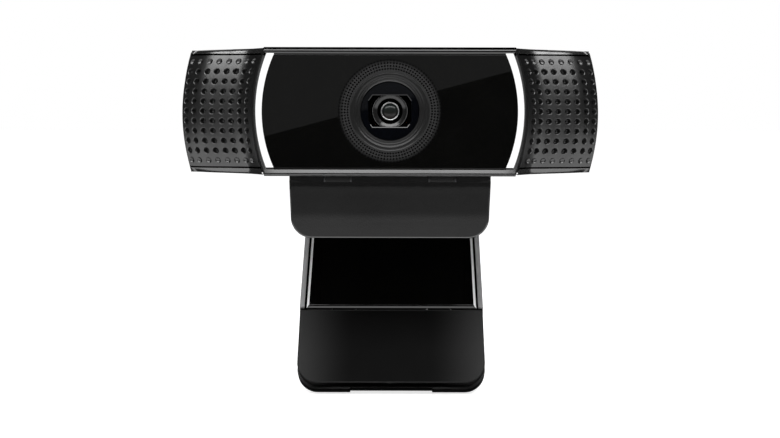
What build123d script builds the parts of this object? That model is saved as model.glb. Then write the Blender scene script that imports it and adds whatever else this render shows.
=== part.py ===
"""Webcam on a folding screen clip.

Millimetres.  X runs across the object, Y from its front to its back, Z up.
The origin is the middle of the seat pad's underside, where the clip rests on a screen's top edge.
The head is drawn about its lens axis, and each leg piece lying flat with its hinge axis at zero.
Those pieces are then put in place by the three hinge places.
"""
import math
import os

from build123d import *

# ---- clip: plate, pads and lip ----
SEAT_PAD_L = 50.0
SEAT_PAD_W = 38.0
SEAT_PAD_T = 1.0
PLATE_T = 3.0
LIP_T = 1.8
LIP_DROP = 7.6          # lip's lowest edge below the seat
LIP_W = 46.0            # at the tilt hinge
LIP_TAPER = 0.6         # lost on each side down to the lip's corners
LIP_CORNER_R = 4.8
LIP_PAD_T = 0.6
LIP_PAD_EDGE = 3.0      # border of bare lip round the pad
LIP_PAD_DROP = 0.6      # pad's top below the seat
LIP_PAD_CORNER_R = 1.0
PAD_CORNER_R = 2.0

# ---- tilt hinge, nested in a groove under the head ----
TILT_R = 3.0
TILT_RISE = 1.7         # axis above the plate's top
TILT_SETBACK = 9.0      # axis behind the head's front face
TILT_NEST = 1.0         # axis below the head's underside
TILT_PIN_R = 1.0
TILT_NECK_T = 3.0

# ---- rear hinge of the leg ----
ARM_HINGE_R = 4.5
ARM_HINGE_DROP = 0.3    # barrel's top below the plate's top
ARM_HINGE_GAP = 1.5     # seat pad's end to the barrel
ARM_PIN_R = 1.5

# ---- upper leg (arm) ----
ARM_L = 36.1            # hinge to hinge, along its slab
ARM_W = 44.0            # at the rear hinge
ARM_WIDEN = 0.8         # gained on each side down to the foot hinge
ARM_T = 4.5
ARM_FOLD_GAP = 0.3      # folded leg below the seat
ARM_WALL = 1.2
ARM_REVEAL = 0.5        # shadow gap between rail and panel
ARM_REST = 47.7         # degrees down from folded flat
PANEL_T = 0.8
PANEL_BEVEL = 0.6

# ---- foot ----
FOOT_L = 19.55
FOOT_W = 45.5           # at its hinge
FOOT_WIDEN = 0.6        # gained on each side down to the toe
FOOT_BACK = 4.2         # hinge axis to the back face
FOOT_BEND = 19.5        # degrees from in line with the arm
FOOT_CORNER_R = 5.0
FOOT_KNUCKLE_R = 1.2
FOOT_PIN_R = 0.6
FOOT_PAD_T = 3.25
FOOT_PAD_LIP_T = 0.8    # pad's tongue over the hinge
FOOT_PAD_INSET = 1.2
TOE_NOTCH_W = 20.3
TOE_NOTCH_D = 0.4

# ---- tripod thread: 1/4-20 UNC insert, smooth at its minor diameter ----
THREAD_R = 2.6
INSERT_R = 3.7
INSERT_BOSS_WALL = 1.0
INSERT_L = 5.2
INSERT_PLACE = 11.0     # from the foot hinge

# ---- hinges in general ----
WASHER_T = 0.3
AXIAL_CLEAR = 0.05
PIN_CLEAR = 0.05
HINGE_CLEAR = 0.3
CAP_T = 0.8
CAP_R_SHARE = 0.62      # cap's radius over its barrel's
KNUCKLE_CENTRE_SHARE = 0.19   # half width of the middle knuckle over the hinge's width
KNUCKLE_OUTER_SHARE = 0.33    # where the outer knuckles start over the hinge's width

# ---- head ----
HEAD_W = 95.2
HEAD_H = 29.0
HEAD_D = 24.0
SHELL_WALL = 1.6
D_START = 8.0           # where the round back begins
BACK_CORNER_R = 9.0
WING_SPLIT = 9.0        # plane where the grilles meet the rear housing
WING_DROP = 0.55        # wing's top below the centre frame's, next to the frame
WING_TAPER = 0.45       # further drop out to the end
END_R = 48.0            # the head's bowed ends

# ---- centre frame, window and light guides ----
FRAME_W = 62.1
FRAME_D = 4.0
FRAME_SIDE = 0.75
FRAME_RAIL = 1.75
FRAME_BOW_R = 38.0
FRAME_LEDGE = 1.3
LEDGE_T = 1.2
WINDOW_SINK = 0.3
WINDOW_T = 1.5
GUIDE_W = 1.65
GUIDE_PEG_R = 0.45
GUIDE_PEG_PITCH = 8.0
SEAM = 0.05

# ---- grilles ----
GRILLE_WALL = 1.3
GRILLE_START_D = 1.0    # depth behind the front face, beside the frame
GRILLE_KNEE_D = 3.3
GRILLE_MID_D = 4.6
GRILLE_BEND_D = 5.8
GRILLE_END_D = 8.0
GRILLE_OUT_SHARES = (0.0, 0.18, 0.45, 0.73, 1.0)
PERF_R = 0.58
PERF_ROWS = 11
PERF_ROW_PITCH = 2.24
PERF_COLUMNS = 8        # evenly spaced along the curved face
PERF_LEAD = 1.0         # hole's start ahead of the face
PERF_DEPTH = 2.2

# ---- lens opening and camera module ----
TRIM_OUT_R = 9.4
TRIM_IN_R = 6.8
TRIM_GROOVE_PITCH = 0.6
TRIM_GROOVE_D = 0.2
APERTURE_W = 10.0
APERTURE_H = 7.6
APERTURE_TOP_W = 7.9
APERTURE_SIDE_H = 4.7
BEZEL_T = 1.6
BARREL_R = 4.4
BARREL_FRONT = 2.9      # barrel's front edge behind the head's front face
BARREL_L = 7.5
BAFFLE_R = 3.85
BAFFLE_D = 1.6
LENS_R = 2.1
LENS_T = 1.1
LENS_COUNT = 3
FOCUS_CLEAR = 0.05
COIL_T = 0.7
COIL_L = 3.0
MAGNET_SIZE = 2.2
HOLDER_W = 14.0
HOLDER_FRONT = 4.4
HOLDER_FACE_T = 1.0
SPRING_T = 0.2
SENSOR_W = 7.2
SENSOR_H = 5.6
SENSOR_T = 0.9
FILTER_T = 0.3

# ---- boards and small electronics ----
BOARD_W = 43.2
BOARD_T = 1.2
BOARD_FACE = 12.6       # board's front face behind the head's front face
BOARD_LOW = -7.6
BOARD_HIGH = 10.6
POST_R = 1.9
SCREW_R = 0.7
SCREW_HEAD_R = 1.3
SCREW_HEAD_T = 0.8
SCREW_L = 4.0
POST_INSET = 3.0
SHIELD_W = 16.0
SHIELD_H = 13.0
SHIELD_T = 2.4
SHIELD_WALL = 0.3
SHIELD_X = 9.0
SHIELD_Z = 1.5
THERMAL_PAD_T = 1.0
THERMAL_PAD_SHARE = 0.6
HEADER_W = 8.0
HEADER_H = 4.0
HEADER_T = 4.5
HEADER_X = -12.0
LED_BOARD_EDGE = 1.2     # board beyond the guide's inner edge
LED_BOARD_H = 19.0
LED_BOARD_T = 0.8
LED_SIZE = 1.2
LED_T = 0.7
MIC_SHARE = 0.48        # microphone's place over the wing's reach
MIC_R = 2.0
MIC_T = 1.6
BOOT_WALL = 0.8
MIC_FRONT = 8.6

# ---- cable exit ----
CORD_R = 1.9
GLAND_R = 3.3
GLAND_FLANGE_R = 4.3
GLAND_FLANGE_T = 1.0
GLAND_OUT = 1.6
GLAND_X = -14.0

# ---- tilt bracket inside the head ----
LAND_TOP = -9.5         # height from the lens axis
LAND_WALL = 1.2
BRACKET_T = 1.2
BRACKET_INSET = 1.0     # bracket's end inside the hinge's end
BRACKET_D = 7.0
BRACKET_SCREW_L = 1.9
BRACKET_SCREW_INSET = 3.5

# ---- housing screws, from behind ----
HOUSING_SCREW_X = 24.6
HOUSING_SCREW_Z = 7.0
HOUSING_SEAM = 8.0      # plane where the frame's bosses meet the housing's posts
HOUSING_SCREW_WEB = 2.0 # post's end wall under the screw's head
HOUSING_SCREW_L = 6.0

# ---- places worked out from the sizes ----
PLATE_TOP = SEAT_PAD_T + PLATE_T
TILT_Y = -SEAT_PAD_L / 2
TILT_Z = PLATE_TOP + TILT_RISE
HEAD_FRONT_Y = TILT_Y - TILT_SETBACK
LENS_Z = TILT_Z + TILT_NEST + HEAD_H / 2
LIP_FACE_Y = TILT_Y - TILT_R
ARM_Y = SEAT_PAD_L / 2 + ARM_HINGE_GAP + ARM_HINGE_R
ARM_Z = PLATE_TOP - ARM_HINGE_R - ARM_HINGE_DROP
ARM_TOP = -ARM_FOLD_GAP - ARM_Z
ARM_BOTTOM = ARM_TOP - ARM_T
FOOT_AXIS_Z = (ARM_TOP + ARM_BOTTOM) / 2
KNUCKLE_REACH = ARM_T / 2 + HINGE_CLEAR
HEAD_PLACE = Pos(0, HEAD_FRONT_Y, LENS_Z)
ARM_PLACE = Pos(0, ARM_Y, ARM_Z) * Rot(ARM_REST, 0, 0)
FOOT_PLACE = ARM_PLACE * Pos(0, -ARM_L, FOOT_AXIS_Z) * Rot(FOOT_BEND, 0, 0)
WING_H = HEAD_H / 2 - WING_DROP
MIC_X = FRAME_W / 2 + MIC_SHARE * (HEAD_W - FRAME_W) / 2
GUIDE_OUT = FRAME_W / 2 - FRAME_SIDE
GUIDE_IN = GUIDE_OUT - GUIDE_W
WINDOW_H = HEAD_H / 2 - FRAME_RAIL
LEDGE_FACE = WINDOW_SINK + WINDOW_T
TILT_LOCAL_Z = -HEAD_H / 2 - TILT_NEST
HOUSING_SEAT = HOUSING_SEAM + HOUSING_SCREW_WEB


# ---- helpers ----
def block(x, y, z):
    """A box given by its (low, high) pairs."""
    size = [high - low for low, high in (x, y, z)]
    middle = [(high + low) / 2 for low, high in (x, y, z)]
    return Pos(*middle) * Box(*size)


def rod_x(radius, span, y=0.0, z=0.0):
    """A round bar along X."""
    return Pos((span[0] + span[1]) / 2, y, z) * Rot(0, 90, 0) * Cylinder(radius, span[1] - span[0])


def rod_y(radius, span, x=0.0, z=0.0):
    """A round bar along Y."""
    return Pos(x, (span[0] + span[1]) / 2, z) * Rot(90, 0, 0) * Cylinder(radius, span[1] - span[0])


def rod_z(radius, span, x=0.0, y=0.0):
    """A round bar along Z."""
    return Pos(x, y, (span[0] + span[1]) / 2) * Cylinder(radius, span[1] - span[0])


def sagitta(radius, half_height):
    """How far an arc falls back at half_height from its middle."""
    return radius - math.sqrt(radius ** 2 - half_height ** 2)


def prism_y(face, span):
    """Extrude a face drawn in XZ from one depth to another."""
    return extrude(Pos(0, span[0], 0) * face, amount=span[1] - span[0], dir=(0, 1, 0))


def bowed_face(half_width, half_height, radius):
    """A rectangle in XZ whose two sides bow outwards."""
    corner = half_width - sagitta(radius, half_height)
    top = Line((-corner, 0, half_height), (corner, 0, half_height))
    right = ThreePointArc((corner, 0, half_height), (half_width, 0, 0), (corner, 0, -half_height))
    bottom = Line((corner, 0, -half_height), (-corner, 0, -half_height))
    left = ThreePointArc((-corner, 0, -half_height), (-half_width, 0, 0), (-corner, 0, half_height))
    return Face(Wire([top, right, bottom, left]))


def centre_face(half_width, half_height):
    """The centre section's outline, at the frame's own bow."""
    return bowed_face(half_width, half_height, FRAME_BOW_R - (FRAME_W / 2 - half_width))


def tapered_slab(width, spread, length, z_low, z_high, start=0.0):
    """A flat slab running back along -Y from its hinge, widening evenly."""
    def half(y):
        return width / 2 + spread * y / length
    near, far = half(start), half(length)
    corners = [(-near, -start), (near, -start), (far, -length), (-far, -length)]
    return extrude(Pos(0, 0, z_low) * make_face(Polyline(*corners, close=True)), amount=z_high - z_low)


def hinge_spans(width):
    """The hinge line's shares along X: fixed knuckles, moving knuckles and washers."""
    gap = WASHER_T + 2 * AXIAL_CLEAR
    centre = width * KNUCKLE_CENTRE_SHARE
    outer = width * KNUCKLE_OUTER_SHARE
    fixed = [(-width / 2, -outer), (-centre, centre), (outer, width / 2)]
    moving = [(-outer + gap, -centre - gap), (centre + gap, outer - gap)]
    washers = []
    for edge in (-outer, -centre - gap, centre, outer - gap):
        washers.append((edge + AXIAL_CLEAR, edge + AXIAL_CLEAR + WASHER_T))
    return fixed, moving, washers


def washer_set(radius, bore, width):
    """The friction washers between a hinge's knuckles."""
    spans = hinge_spans(width)[2]
    return [rod_x(radius, span) - rod_x(bore, span) for span in spans]


def cap_pair(radius, width):
    """The two plugs that close a hinge's ends."""
    left = rod_x(radius, (-width / 2, -width / 2 + CAP_T))
    right = rod_x(radius, (width / 2 - CAP_T, width / 2))
    return [left, right]


def screw_y(x, z, seat, length):
    """A screw driven towards the front, with its head's underside at seat."""
    head = rod_y(SCREW_HEAD_R, (seat, seat + SCREW_HEAD_T), x, z)
    return head + rod_y(SCREW_R, (seat - length, seat), x, z)


def corner_places(half_x, low_z, high_z):
    """The four places of a rectangular screw pattern."""
    return [(side * half_x, z) for side in (-1, 1) for z in (low_z, high_z)]


PARTS = {}


def keep(name, shape, place=None):
    """Store a node: one solid, or a list of separate like solids."""
    solids = shape if isinstance(shape, list) else [shape]
    if place is not None:
        solids = [place * solid for solid in solids]
    PARTS[name] = solids


# ---- clip ----
def lip_outline():
    """The lip seen from the front, from the tilt axis down."""
    top = LIP_W / 2
    low = top - LIP_TAPER
    face = make_face(Polyline((-top, TILT_Z), (top, TILT_Z), (low, -LIP_DROP), (-low, -LIP_DROP), close=True))
    corners = face.vertices().sort_by(Axis.Y)[:2]
    return fillet(corners, LIP_CORNER_R)


def clip_bracket():
    """Plate with the lip in front, the tilt knuckles over it and the leg's knuckles behind."""
    lip = Plane.XZ * lip_outline()
    lip = extrude(Pos(0, LIP_FACE_Y, 0) * lip, amount=LIP_T, dir=(0, 1, 0))
    plate = block((-ARM_W / 2, ARM_W / 2), (LIP_FACE_Y + LIP_T / 2, ARM_Y), (SEAT_PAD_T, PLATE_TOP))
    body = lip + plate
    tilt_fixed, tilt_moving, _ = hinge_spans(LIP_W)
    for span in tilt_moving:
        room = (span[0] - WASHER_T - 2 * AXIAL_CLEAR, span[1] + WASHER_T + 2 * AXIAL_CLEAR)
        body -= rod_x(TILT_R + HINGE_CLEAR, room, TILT_Y, TILT_Z)
    for span in tilt_fixed:
        body += rod_x(TILT_R, span, TILT_Y, TILT_Z)
    arm_fixed, arm_moving, _ = hinge_spans(ARM_W)
    for span in arm_moving:
        room = (span[0] - WASHER_T - 2 * AXIAL_CLEAR, span[1] + WASHER_T + 2 * AXIAL_CLEAR)
        body -= rod_x(ARM_HINGE_R + HINGE_CLEAR, room, ARM_Y, ARM_Z)
        body -= block(room, (ARM_Y - ARM_HINGE_R / 2, ARM_Y), (SEAT_PAD_T, PLATE_TOP))
    for span in arm_fixed:
        body += rod_x(ARM_HINGE_R, span, ARM_Y, ARM_Z)
    body -= rod_x(TILT_PIN_R, (-LIP_W / 2, LIP_W / 2), TILT_Y, TILT_Z)
    body -= rod_x(ARM_PIN_R, (-ARM_W / 2, ARM_W / 2), ARM_Y, ARM_Z)
    for cap in cap_pair(TILT_R * CAP_R_SHARE, LIP_W):
        body -= Pos(0, TILT_Y, TILT_Z) * cap
    for cap in cap_pair(ARM_HINGE_R * CAP_R_SHARE, ARM_W):
        body -= Pos(0, ARM_Y, ARM_Z) * cap
    return body


def rounded_pad(width, length, thickness, corner):
    """A flat pad with rounded corners, lying on XY."""
    return extrude(RectangleRounded(width, length, corner), amount=thickness)


def build_clip():
    keep("clip_bracket", clip_bracket())
    seat_l = SEAT_PAD_L - 2 * LIP_PAD_T
    keep("seat_pad", rounded_pad(SEAT_PAD_W, seat_l, SEAT_PAD_T, PAD_CORNER_R))
    pad_low = -LIP_DROP + LIP_PAD_EDGE
    pad_h = -LIP_PAD_DROP - pad_low
    pad_w = LIP_W - 2 * LIP_TAPER - 2 * LIP_PAD_EDGE
    pad = Rot(-90, 0, 0) * rounded_pad(pad_w, pad_h, LIP_PAD_T, LIP_PAD_CORNER_R)
    keep("lip_pad", Pos(0, LIP_FACE_Y + LIP_T, pad_low + pad_h / 2) * pad)
    tilt_place = Pos(0, TILT_Y, TILT_Z)
    tilt_pin_end = LIP_W / 2 - CAP_T
    keep("tilt_pin", rod_x(TILT_PIN_R, (-tilt_pin_end, tilt_pin_end)), tilt_place)
    keep("tilt_washers", washer_set(TILT_R, TILT_PIN_R, LIP_W), tilt_place)
    keep("tilt_pin_caps", cap_pair(TILT_R * CAP_R_SHARE, LIP_W), tilt_place)
    arm_place = Pos(0, ARM_Y, ARM_Z)
    arm_pin_end = ARM_W / 2 - CAP_T
    keep("arm_pin", rod_x(ARM_PIN_R, (-arm_pin_end, arm_pin_end)), arm_place)
    keep("arm_washers", washer_set(ARM_HINGE_R, ARM_PIN_R, ARM_W), arm_place)
    keep("arm_pin_caps", cap_pair(ARM_HINGE_R * CAP_R_SHARE, ARM_W), arm_place)


# ---- leg ----
def arm_end_half(y):
    """Half the arm's width at a distance from the rear hinge."""
    return ARM_W / 2 + ARM_WIDEN * y / ARM_L


def arm_shell():
    """Channel with side rails, rear knuckles and the fixed knuckles of the foot hinge."""
    arm_start = ARM_HINGE_R + HINGE_CLEAR
    body = tapered_slab(ARM_W, ARM_WIDEN, ARM_L, ARM_BOTTOM, ARM_TOP, arm_start)
    _, rear_moving, _ = hinge_spans(ARM_W)
    for span in rear_moving:
        body += rod_x(ARM_HINGE_R, span)
        body += block(span, (-arm_start, 0), (ARM_BOTTOM, ARM_TOP))
        body -= rod_x(ARM_PIN_R + PIN_CLEAR, span)
    pocket_w = ARM_W - 2 * ARM_WALL
    pocket_floor = ARM_TOP - PANEL_T
    body -= tapered_slab(pocket_w, ARM_WIDEN, ARM_L, pocket_floor, ARM_TOP, arm_start + ARM_WALL)
    hollow_w = pocket_w - 2 * ARM_WALL
    hollow_end = ARM_L - KNUCKLE_REACH - ARM_WALL
    body -= block((-hollow_w / 2, hollow_w / 2), (-hollow_end, -arm_start - 2 * ARM_WALL),
                  (ARM_BOTTOM + ARM_WALL, pocket_floor))
    width = 2 * arm_end_half(ARM_L)
    fixed, moving, _ = hinge_spans(width)
    for span in moving:
        room = (span[0] - WASHER_T - 2 * AXIAL_CLEAR, span[1] + WASHER_T + 2 * AXIAL_CLEAR)
        body -= block(room, (-ARM_L, -ARM_L + KNUCKLE_REACH), (ARM_BOTTOM, pocket_floor))
    for span in fixed:
        knuckle = rod_x(FOOT_KNUCKLE_R, span, -ARM_L, FOOT_AXIS_Z)
        reach = (-ARM_L, -ARM_L + KNUCKLE_REACH)
        knuckle_top = FOOT_AXIS_Z + FOOT_KNUCKLE_R
        body -= block(span, reach, (knuckle_top, pocket_floor))
        body += knuckle
        body += block(span, reach, (ARM_BOTTOM, knuckle_top))
    body -= rod_x(FOOT_PIN_R, (-width, width), -ARM_L, FOOT_AXIS_Z)
    return body


def arm_panel():
    """Glossy inlay between the rails, with bevelled long edges."""
    inset = ARM_WALL + ARM_REVEAL
    start = ARM_HINGE_R + HINGE_CLEAR + inset
    width = ARM_W - 2 * inset
    panel = tapered_slab(width, ARM_WIDEN, ARM_L, ARM_TOP - PANEL_T, ARM_TOP, start)
    rims = panel.faces().sort_by(Axis.Z)[-1].edges()
    return chamfer(rims, PANEL_BEVEL)


def foot_half(y):
    """Half the foot's width at a distance from its hinge."""
    return FOOT_W / 2 + FOOT_WIDEN * y / FOOT_L


def rounded_foot(inset, low, high, start, end):
    """The foot's outline as a slab with round toe corners."""
    corners = [
        (-foot_half(start) + inset, -start),
        (foot_half(start) - inset, -start),
        (foot_half(end) - inset, -end),
        (-foot_half(end) + inset, -end),
    ]
    face = make_face(Polyline(*corners, close=True))
    face = fillet(face.vertices().sort_by(Axis.Y)[:2], FOOT_CORNER_R)
    return extrude(Pos(0, 0, low) * face, amount=high - low)


def foot_shell():
    """Back shell with its knuckles, the insert's boss and the toe's shallow notch."""
    pad_floor = ARM_T / 2 - FOOT_PAD_T
    pad_tongue = ARM_T / 2 - FOOT_PAD_LIP_T
    body = rounded_foot(0, -FOOT_BACK, pad_floor, KNUCKLE_REACH, FOOT_L)
    body += block((-foot_half(0) + FOOT_PAD_INSET, foot_half(0) - FOOT_PAD_INSET),
                  (-KNUCKLE_REACH - ARM_WALL, -KNUCKLE_REACH), (pad_floor, pad_tongue))
    width = 2 * arm_end_half(ARM_L)
    for span in hinge_spans(width)[1]:
        body += rod_x(FOOT_KNUCKLE_R, span)
        body += block(span, (-KNUCKLE_REACH - ARM_WALL, 0), (-ARM_T / 2, FOOT_KNUCKLE_R))
        body -= rod_x(FOOT_PIN_R + PIN_CLEAR, span)
    boss_top = -FOOT_BACK + INSERT_L
    body += rod_z(INSERT_R + INSERT_BOSS_WALL, (-FOOT_BACK, boss_top), 0, -INSERT_PLACE)
    body -= rod_z(INSERT_R, (-FOOT_BACK, boss_top), 0, -INSERT_PLACE)
    notch_w = TOE_NOTCH_W / 2
    body -= block((-notch_w, notch_w), (-FOOT_L, -FOOT_L + TOE_NOTCH_D), (-FOOT_BACK, pad_floor))
    return body


def foot_pad():
    """Soft face of the foot: a thick block with a thin tongue up to the hinge."""
    pad_floor = ARM_T / 2 - FOOT_PAD_T
    pad_top = ARM_T / 2
    tongue_floor = pad_top - FOOT_PAD_LIP_T
    end = FOOT_L - FOOT_PAD_INSET
    body = rounded_foot(SEAM, tongue_floor, pad_top, AXIAL_CLEAR, end)
    body += rounded_foot(SEAM, pad_floor, tongue_floor, KNUCKLE_REACH + ARM_WALL, end)
    room = INSERT_R + INSERT_BOSS_WALL + SEAM
    body -= rod_z(room, (pad_floor, -FOOT_BACK + INSERT_L), 0, -INSERT_PLACE)
    return body


def build_leg():
    keep("arm_shell", arm_shell(), ARM_PLACE)
    keep("arm_panel", arm_panel(), ARM_PLACE)
    width = 2 * arm_end_half(ARM_L)
    pin_place = ARM_PLACE * Pos(0, -ARM_L, FOOT_AXIS_Z)
    keep("foot_pin", rod_x(FOOT_PIN_R, (-width / 2, width / 2)), pin_place)
    keep("foot_washers", washer_set(FOOT_KNUCKLE_R, FOOT_PIN_R, width), pin_place)
    keep("foot_shell", foot_shell(), FOOT_PLACE)
    keep("foot_pad", foot_pad(), FOOT_PLACE)
    insert = rod_z(INSERT_R, (-FOOT_BACK, -FOOT_BACK + INSERT_L), 0, -INSERT_PLACE)
    insert -= rod_z(THREAD_R, (-FOOT_BACK, -FOOT_BACK + INSERT_L), 0, -INSERT_PLACE)
    keep("tripod_insert", insert, FOOT_PLACE)


# ---- head shells ----
def head_face(inset):
    """The wings' outline from the front: tapering a little to bowed ends."""
    end_h = WING_H - WING_TAPER - inset
    mid_h = WING_H - inset
    mid_x = FRAME_W / 2 - sagitta(FRAME_BOW_R, WING_H)
    end_x = HEAD_W / 2 - inset - sagitta(END_R, end_h)
    tip = HEAD_W / 2 - inset
    top = Polyline((-end_x, 0, end_h), (-mid_x, 0, mid_h), (mid_x, 0, mid_h), (end_x, 0, end_h))
    right = ThreePointArc((end_x, 0, end_h), (tip, 0, 0), (end_x, 0, -end_h))
    bottom = Polyline((end_x, 0, -end_h), (mid_x, 0, -mid_h), (-mid_x, 0, -mid_h), (-end_x, 0, -end_h))
    left = ThreePointArc((-end_x, 0, -end_h), (-tip, 0, 0), (-end_x, 0, end_h))
    return Face(Wire([*top.edges(), right, *bottom.edges(), left]))


def back_form(inset):
    """The head's rear mass: round in side view and rounded at its back corners."""
    depth = HEAD_D - D_START - inset
    height = WING_H - inset
    side = Pos(D_START, 0) * Ellipse(depth, height)
    side += Pos((D_START + FRAME_D) / 2, 0) * Rectangle(D_START - FRAME_D, 2 * height)
    tunnel = extrude(Pos(-HEAD_W / 2, 0, 0) * (Plane.YZ * side), amount=HEAD_W, dir=(1, 0, 0))
    tunnel &= block((-HEAD_W, HEAD_W), (FRAME_D, HEAD_D), (-HEAD_H, HEAD_H))
    tunnel &= prism_y(head_face(inset), (FRAME_D, HEAD_D))
    half = HEAD_W / 2 - inset
    plan = block((-half, half), (-HEAD_D, HEAD_D - inset), (-HEAD_H, HEAD_H))
    corners = plan.edges().filter_by(Axis.Z).sort_by(Axis.Y)[-2:]
    return tunnel & fillet(corners, BACK_CORNER_R - inset)


def rear_housing():
    """Back shell with the hinge groove, its inner land, posts and the cable's hole."""
    collar = prism_y(centre_face(FRAME_W / 2, HEAD_H), (FRAME_D, WING_SPLIT))
    rear = block((-HEAD_W, HEAD_W), (WING_SPLIT, HEAD_D), (-HEAD_H, HEAD_H))
    outer = back_form(0)
    shell = outer & (collar + rear)
    core_face = centre_face(GUIDE_OUT, HEAD_H)
    core_mask = prism_y(core_face, (FRAME_D, WING_SPLIT)) + rear
    shell -= back_form(SHELL_WALL) & core_mask
    groove_r = TILT_R + HINGE_CLEAR
    half = LIP_W / 2 + HINGE_CLEAR
    land = block((-half - LAND_WALL, half + LAND_WALL),
                 (FRAME_D, TILT_SETBACK + groove_r + LAND_WALL), (-WING_H, LAND_TOP))
    shell += land & outer
    shell -= rod_x(groove_r, (-half, half), TILT_SETBACK, TILT_LOCAL_Z)
    neck = TILT_NECK_T / 2 + SEAM
    for span in hinge_spans(LIP_W)[1]:
        neck_x = (span[0] - SEAM, span[1] + SEAM)
        shell -= block(neck_x, (TILT_SETBACK - neck, TILT_SETBACK + neck), (-HEAD_H, LAND_TOP))
    for x in bracket_screw_places():
        shell -= rod_z(SCREW_R, (LAND_TOP - BRACKET_SCREW_L, LAND_TOP), x, TILT_SETBACK)
    mic_seat = MIC_FRONT + MIC_T + BOOT_WALL
    for side in (-1, 1):
        shell += rod_y(MIC_R + BOOT_WALL, (mic_seat, HEAD_D), side * MIC_X) & outer
    for x, z in housing_screw_places():
        shell += rod_y(POST_R, (HOUSING_SEAM, HEAD_D), x, z) & outer
        shell -= rod_y(SCREW_R, (HOUSING_SEAM, HEAD_D), x, z)
        shell -= rod_y(SCREW_HEAD_R, (HOUSING_SEAT, HEAD_D), x, z)
    shell -= rod_y(GLAND_R, (0, HEAD_D + GLAND_OUT), GLAND_X)
    shell -= rod_y(GLAND_FLANGE_R, (HEAD_D / 2, HEAD_D - SHELL_WALL), GLAND_X)
    return shell


def board_screw_places():
    """The main board's four screws."""
    return corner_places(BOARD_W / 2 - POST_INSET, BOARD_LOW + POST_INSET, BOARD_HIGH - POST_INSET)


def housing_screw_places():
    """The four screws that join the head's two shells."""
    return corner_places(HOUSING_SCREW_X, -HOUSING_SCREW_Z, HOUSING_SCREW_Z)


def bracket_screw_places():
    """X of each screw of the tilt bracket."""
    outer = LIP_W / 2 - BRACKET_INSET - BRACKET_SCREW_INSET
    inner = LIP_W * KNUCKLE_CENTRE_SHARE / 2
    return [-outer, -inner, inner, outer]


def front_frame():
    """Centre frame with the ledge that carries the window, board posts and screw bosses."""
    body = prism_y(centre_face(FRAME_W / 2, HEAD_H / 2), (0, FRAME_D))
    body -= prism_y(centre_face(GUIDE_OUT, WINDOW_H), (0, LEDGE_FACE))
    body -= prism_y(centre_face(GUIDE_OUT - FRAME_LEDGE, WINDOW_H - FRAME_LEDGE), (0, FRAME_D))
    posts = [(x, z, BOARD_FACE, SCREW_L) for x, z in board_screw_places()]
    length = HOUSING_SEAM - HOUSING_SEAT + HOUSING_SCREW_L
    posts += [(x, z, HOUSING_SEAM, length) for x, z in housing_screw_places()]
    for x, z, back, depth in posts:
        body += rod_y(POST_R, (LEDGE_FACE, back), x, z)
        bridge = (x, GUIDE_OUT) if x > 0 else (-GUIDE_OUT, x)
        bar = block(bridge, (LEDGE_FACE, FRAME_D), (z - POST_R, z + POST_R))
        body += bar & prism_y(centre_face(GUIDE_OUT, WINDOW_H), (0, FRAME_D))
    for x, z, back, depth in posts:
        body -= rod_y(SCREW_R, (back - depth, back), x, z)
    for x, z in guide_peg_places():
        body -= rod_y(GUIDE_PEG_R + SEAM, (LEDGE_FACE, FRAME_D), x, z)
    return body


def guide_x(z):
    """The light guide's middle at a height."""
    middle = GUIDE_OUT - GUIDE_W / 2
    return middle - sagitta(FRAME_BOW_R - FRAME_SIDE - GUIDE_W / 2, z)


def guide_peg_places():
    """The three pegs behind each light guide."""
    heights = (-GUIDE_PEG_PITCH, 0.0, GUIDE_PEG_PITCH)
    return [(side * guide_x(z), z) for side in (-1, 1) for z in heights]


def light_guides():
    """Both curved light guides, with the pegs that carry light from the LEDs."""
    ring = prism_y(centre_face(GUIDE_OUT - SEAM, WINDOW_H - SEAM), (WINDOW_SINK, LEDGE_FACE))
    ring -= prism_y(centre_face(GUIDE_IN, HEAD_H), (0, FRAME_D))
    for x, z in guide_peg_places():
        ring += rod_y(GUIDE_PEG_R, (LEDGE_FACE, FRAME_D), x, z)
    return ring.solids().sort_by(Axis.X)


def grille_line(curve_shift):
    """The right wing's face in plan, from the frame's edge out to the head's end."""
    reach = (HEAD_W - FRAME_W) / 2
    depths = (GRILLE_START_D, GRILLE_KNEE_D, GRILLE_MID_D, GRILLE_BEND_D, GRILLE_END_D)
    points = [(FRAME_W / 2 + reach * share, depth + curve_shift)
              for share, depth in zip(GRILLE_OUT_SHARES, depths)]
    return Spline(*points)


def grille_form(lead, curve_shift, inset):
    """The right wing's front mass, behind its curved face."""
    centre_x = FRAME_W / 2 - FRAME_BOW_R
    face_line = grille_line(curve_shift)
    start, end = face_line @ 0, face_line @ 1
    back = HEAD_D / 2
    rim = Polyline((end.X, end.Y), (end.X, back), (start.X, back), (start.X, start.Y))
    turned = revolve(make_face([face_line, *rim.edges()]), Axis((centre_x, 0, 0), (0, 1, 0)), 360)
    wing = prism_y(head_face(inset), (0, WING_SPLIT))
    wing -= prism_y(centre_face(FRAME_W / 2 + lead, HEAD_H), (0, WING_SPLIT))
    wing &= block((0, HEAD_W), (0, WING_SPLIT), (-HEAD_H, HEAD_H))
    return wing & turned


def perforations():
    """Bars for the right wing's holes, in columns that follow its bow."""
    centre_x = FRAME_W / 2 - FRAME_BOW_R
    face_line = grille_line(0)
    bars = []
    for column in range(PERF_COLUMNS):
        place = face_line @ ((column + 0.5) / PERF_COLUMNS)
        radius = place.X - centre_x
        for row in range(PERF_ROWS):
            z = (row - (PERF_ROWS - 1) / 2) * PERF_ROW_PITCH
            x = centre_x + math.sqrt(radius ** 2 - z ** 2)
            bars.append(rod_y(PERF_R, (place.Y - PERF_LEAD, place.Y + PERF_DEPTH), x, z))
    return bars


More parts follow.
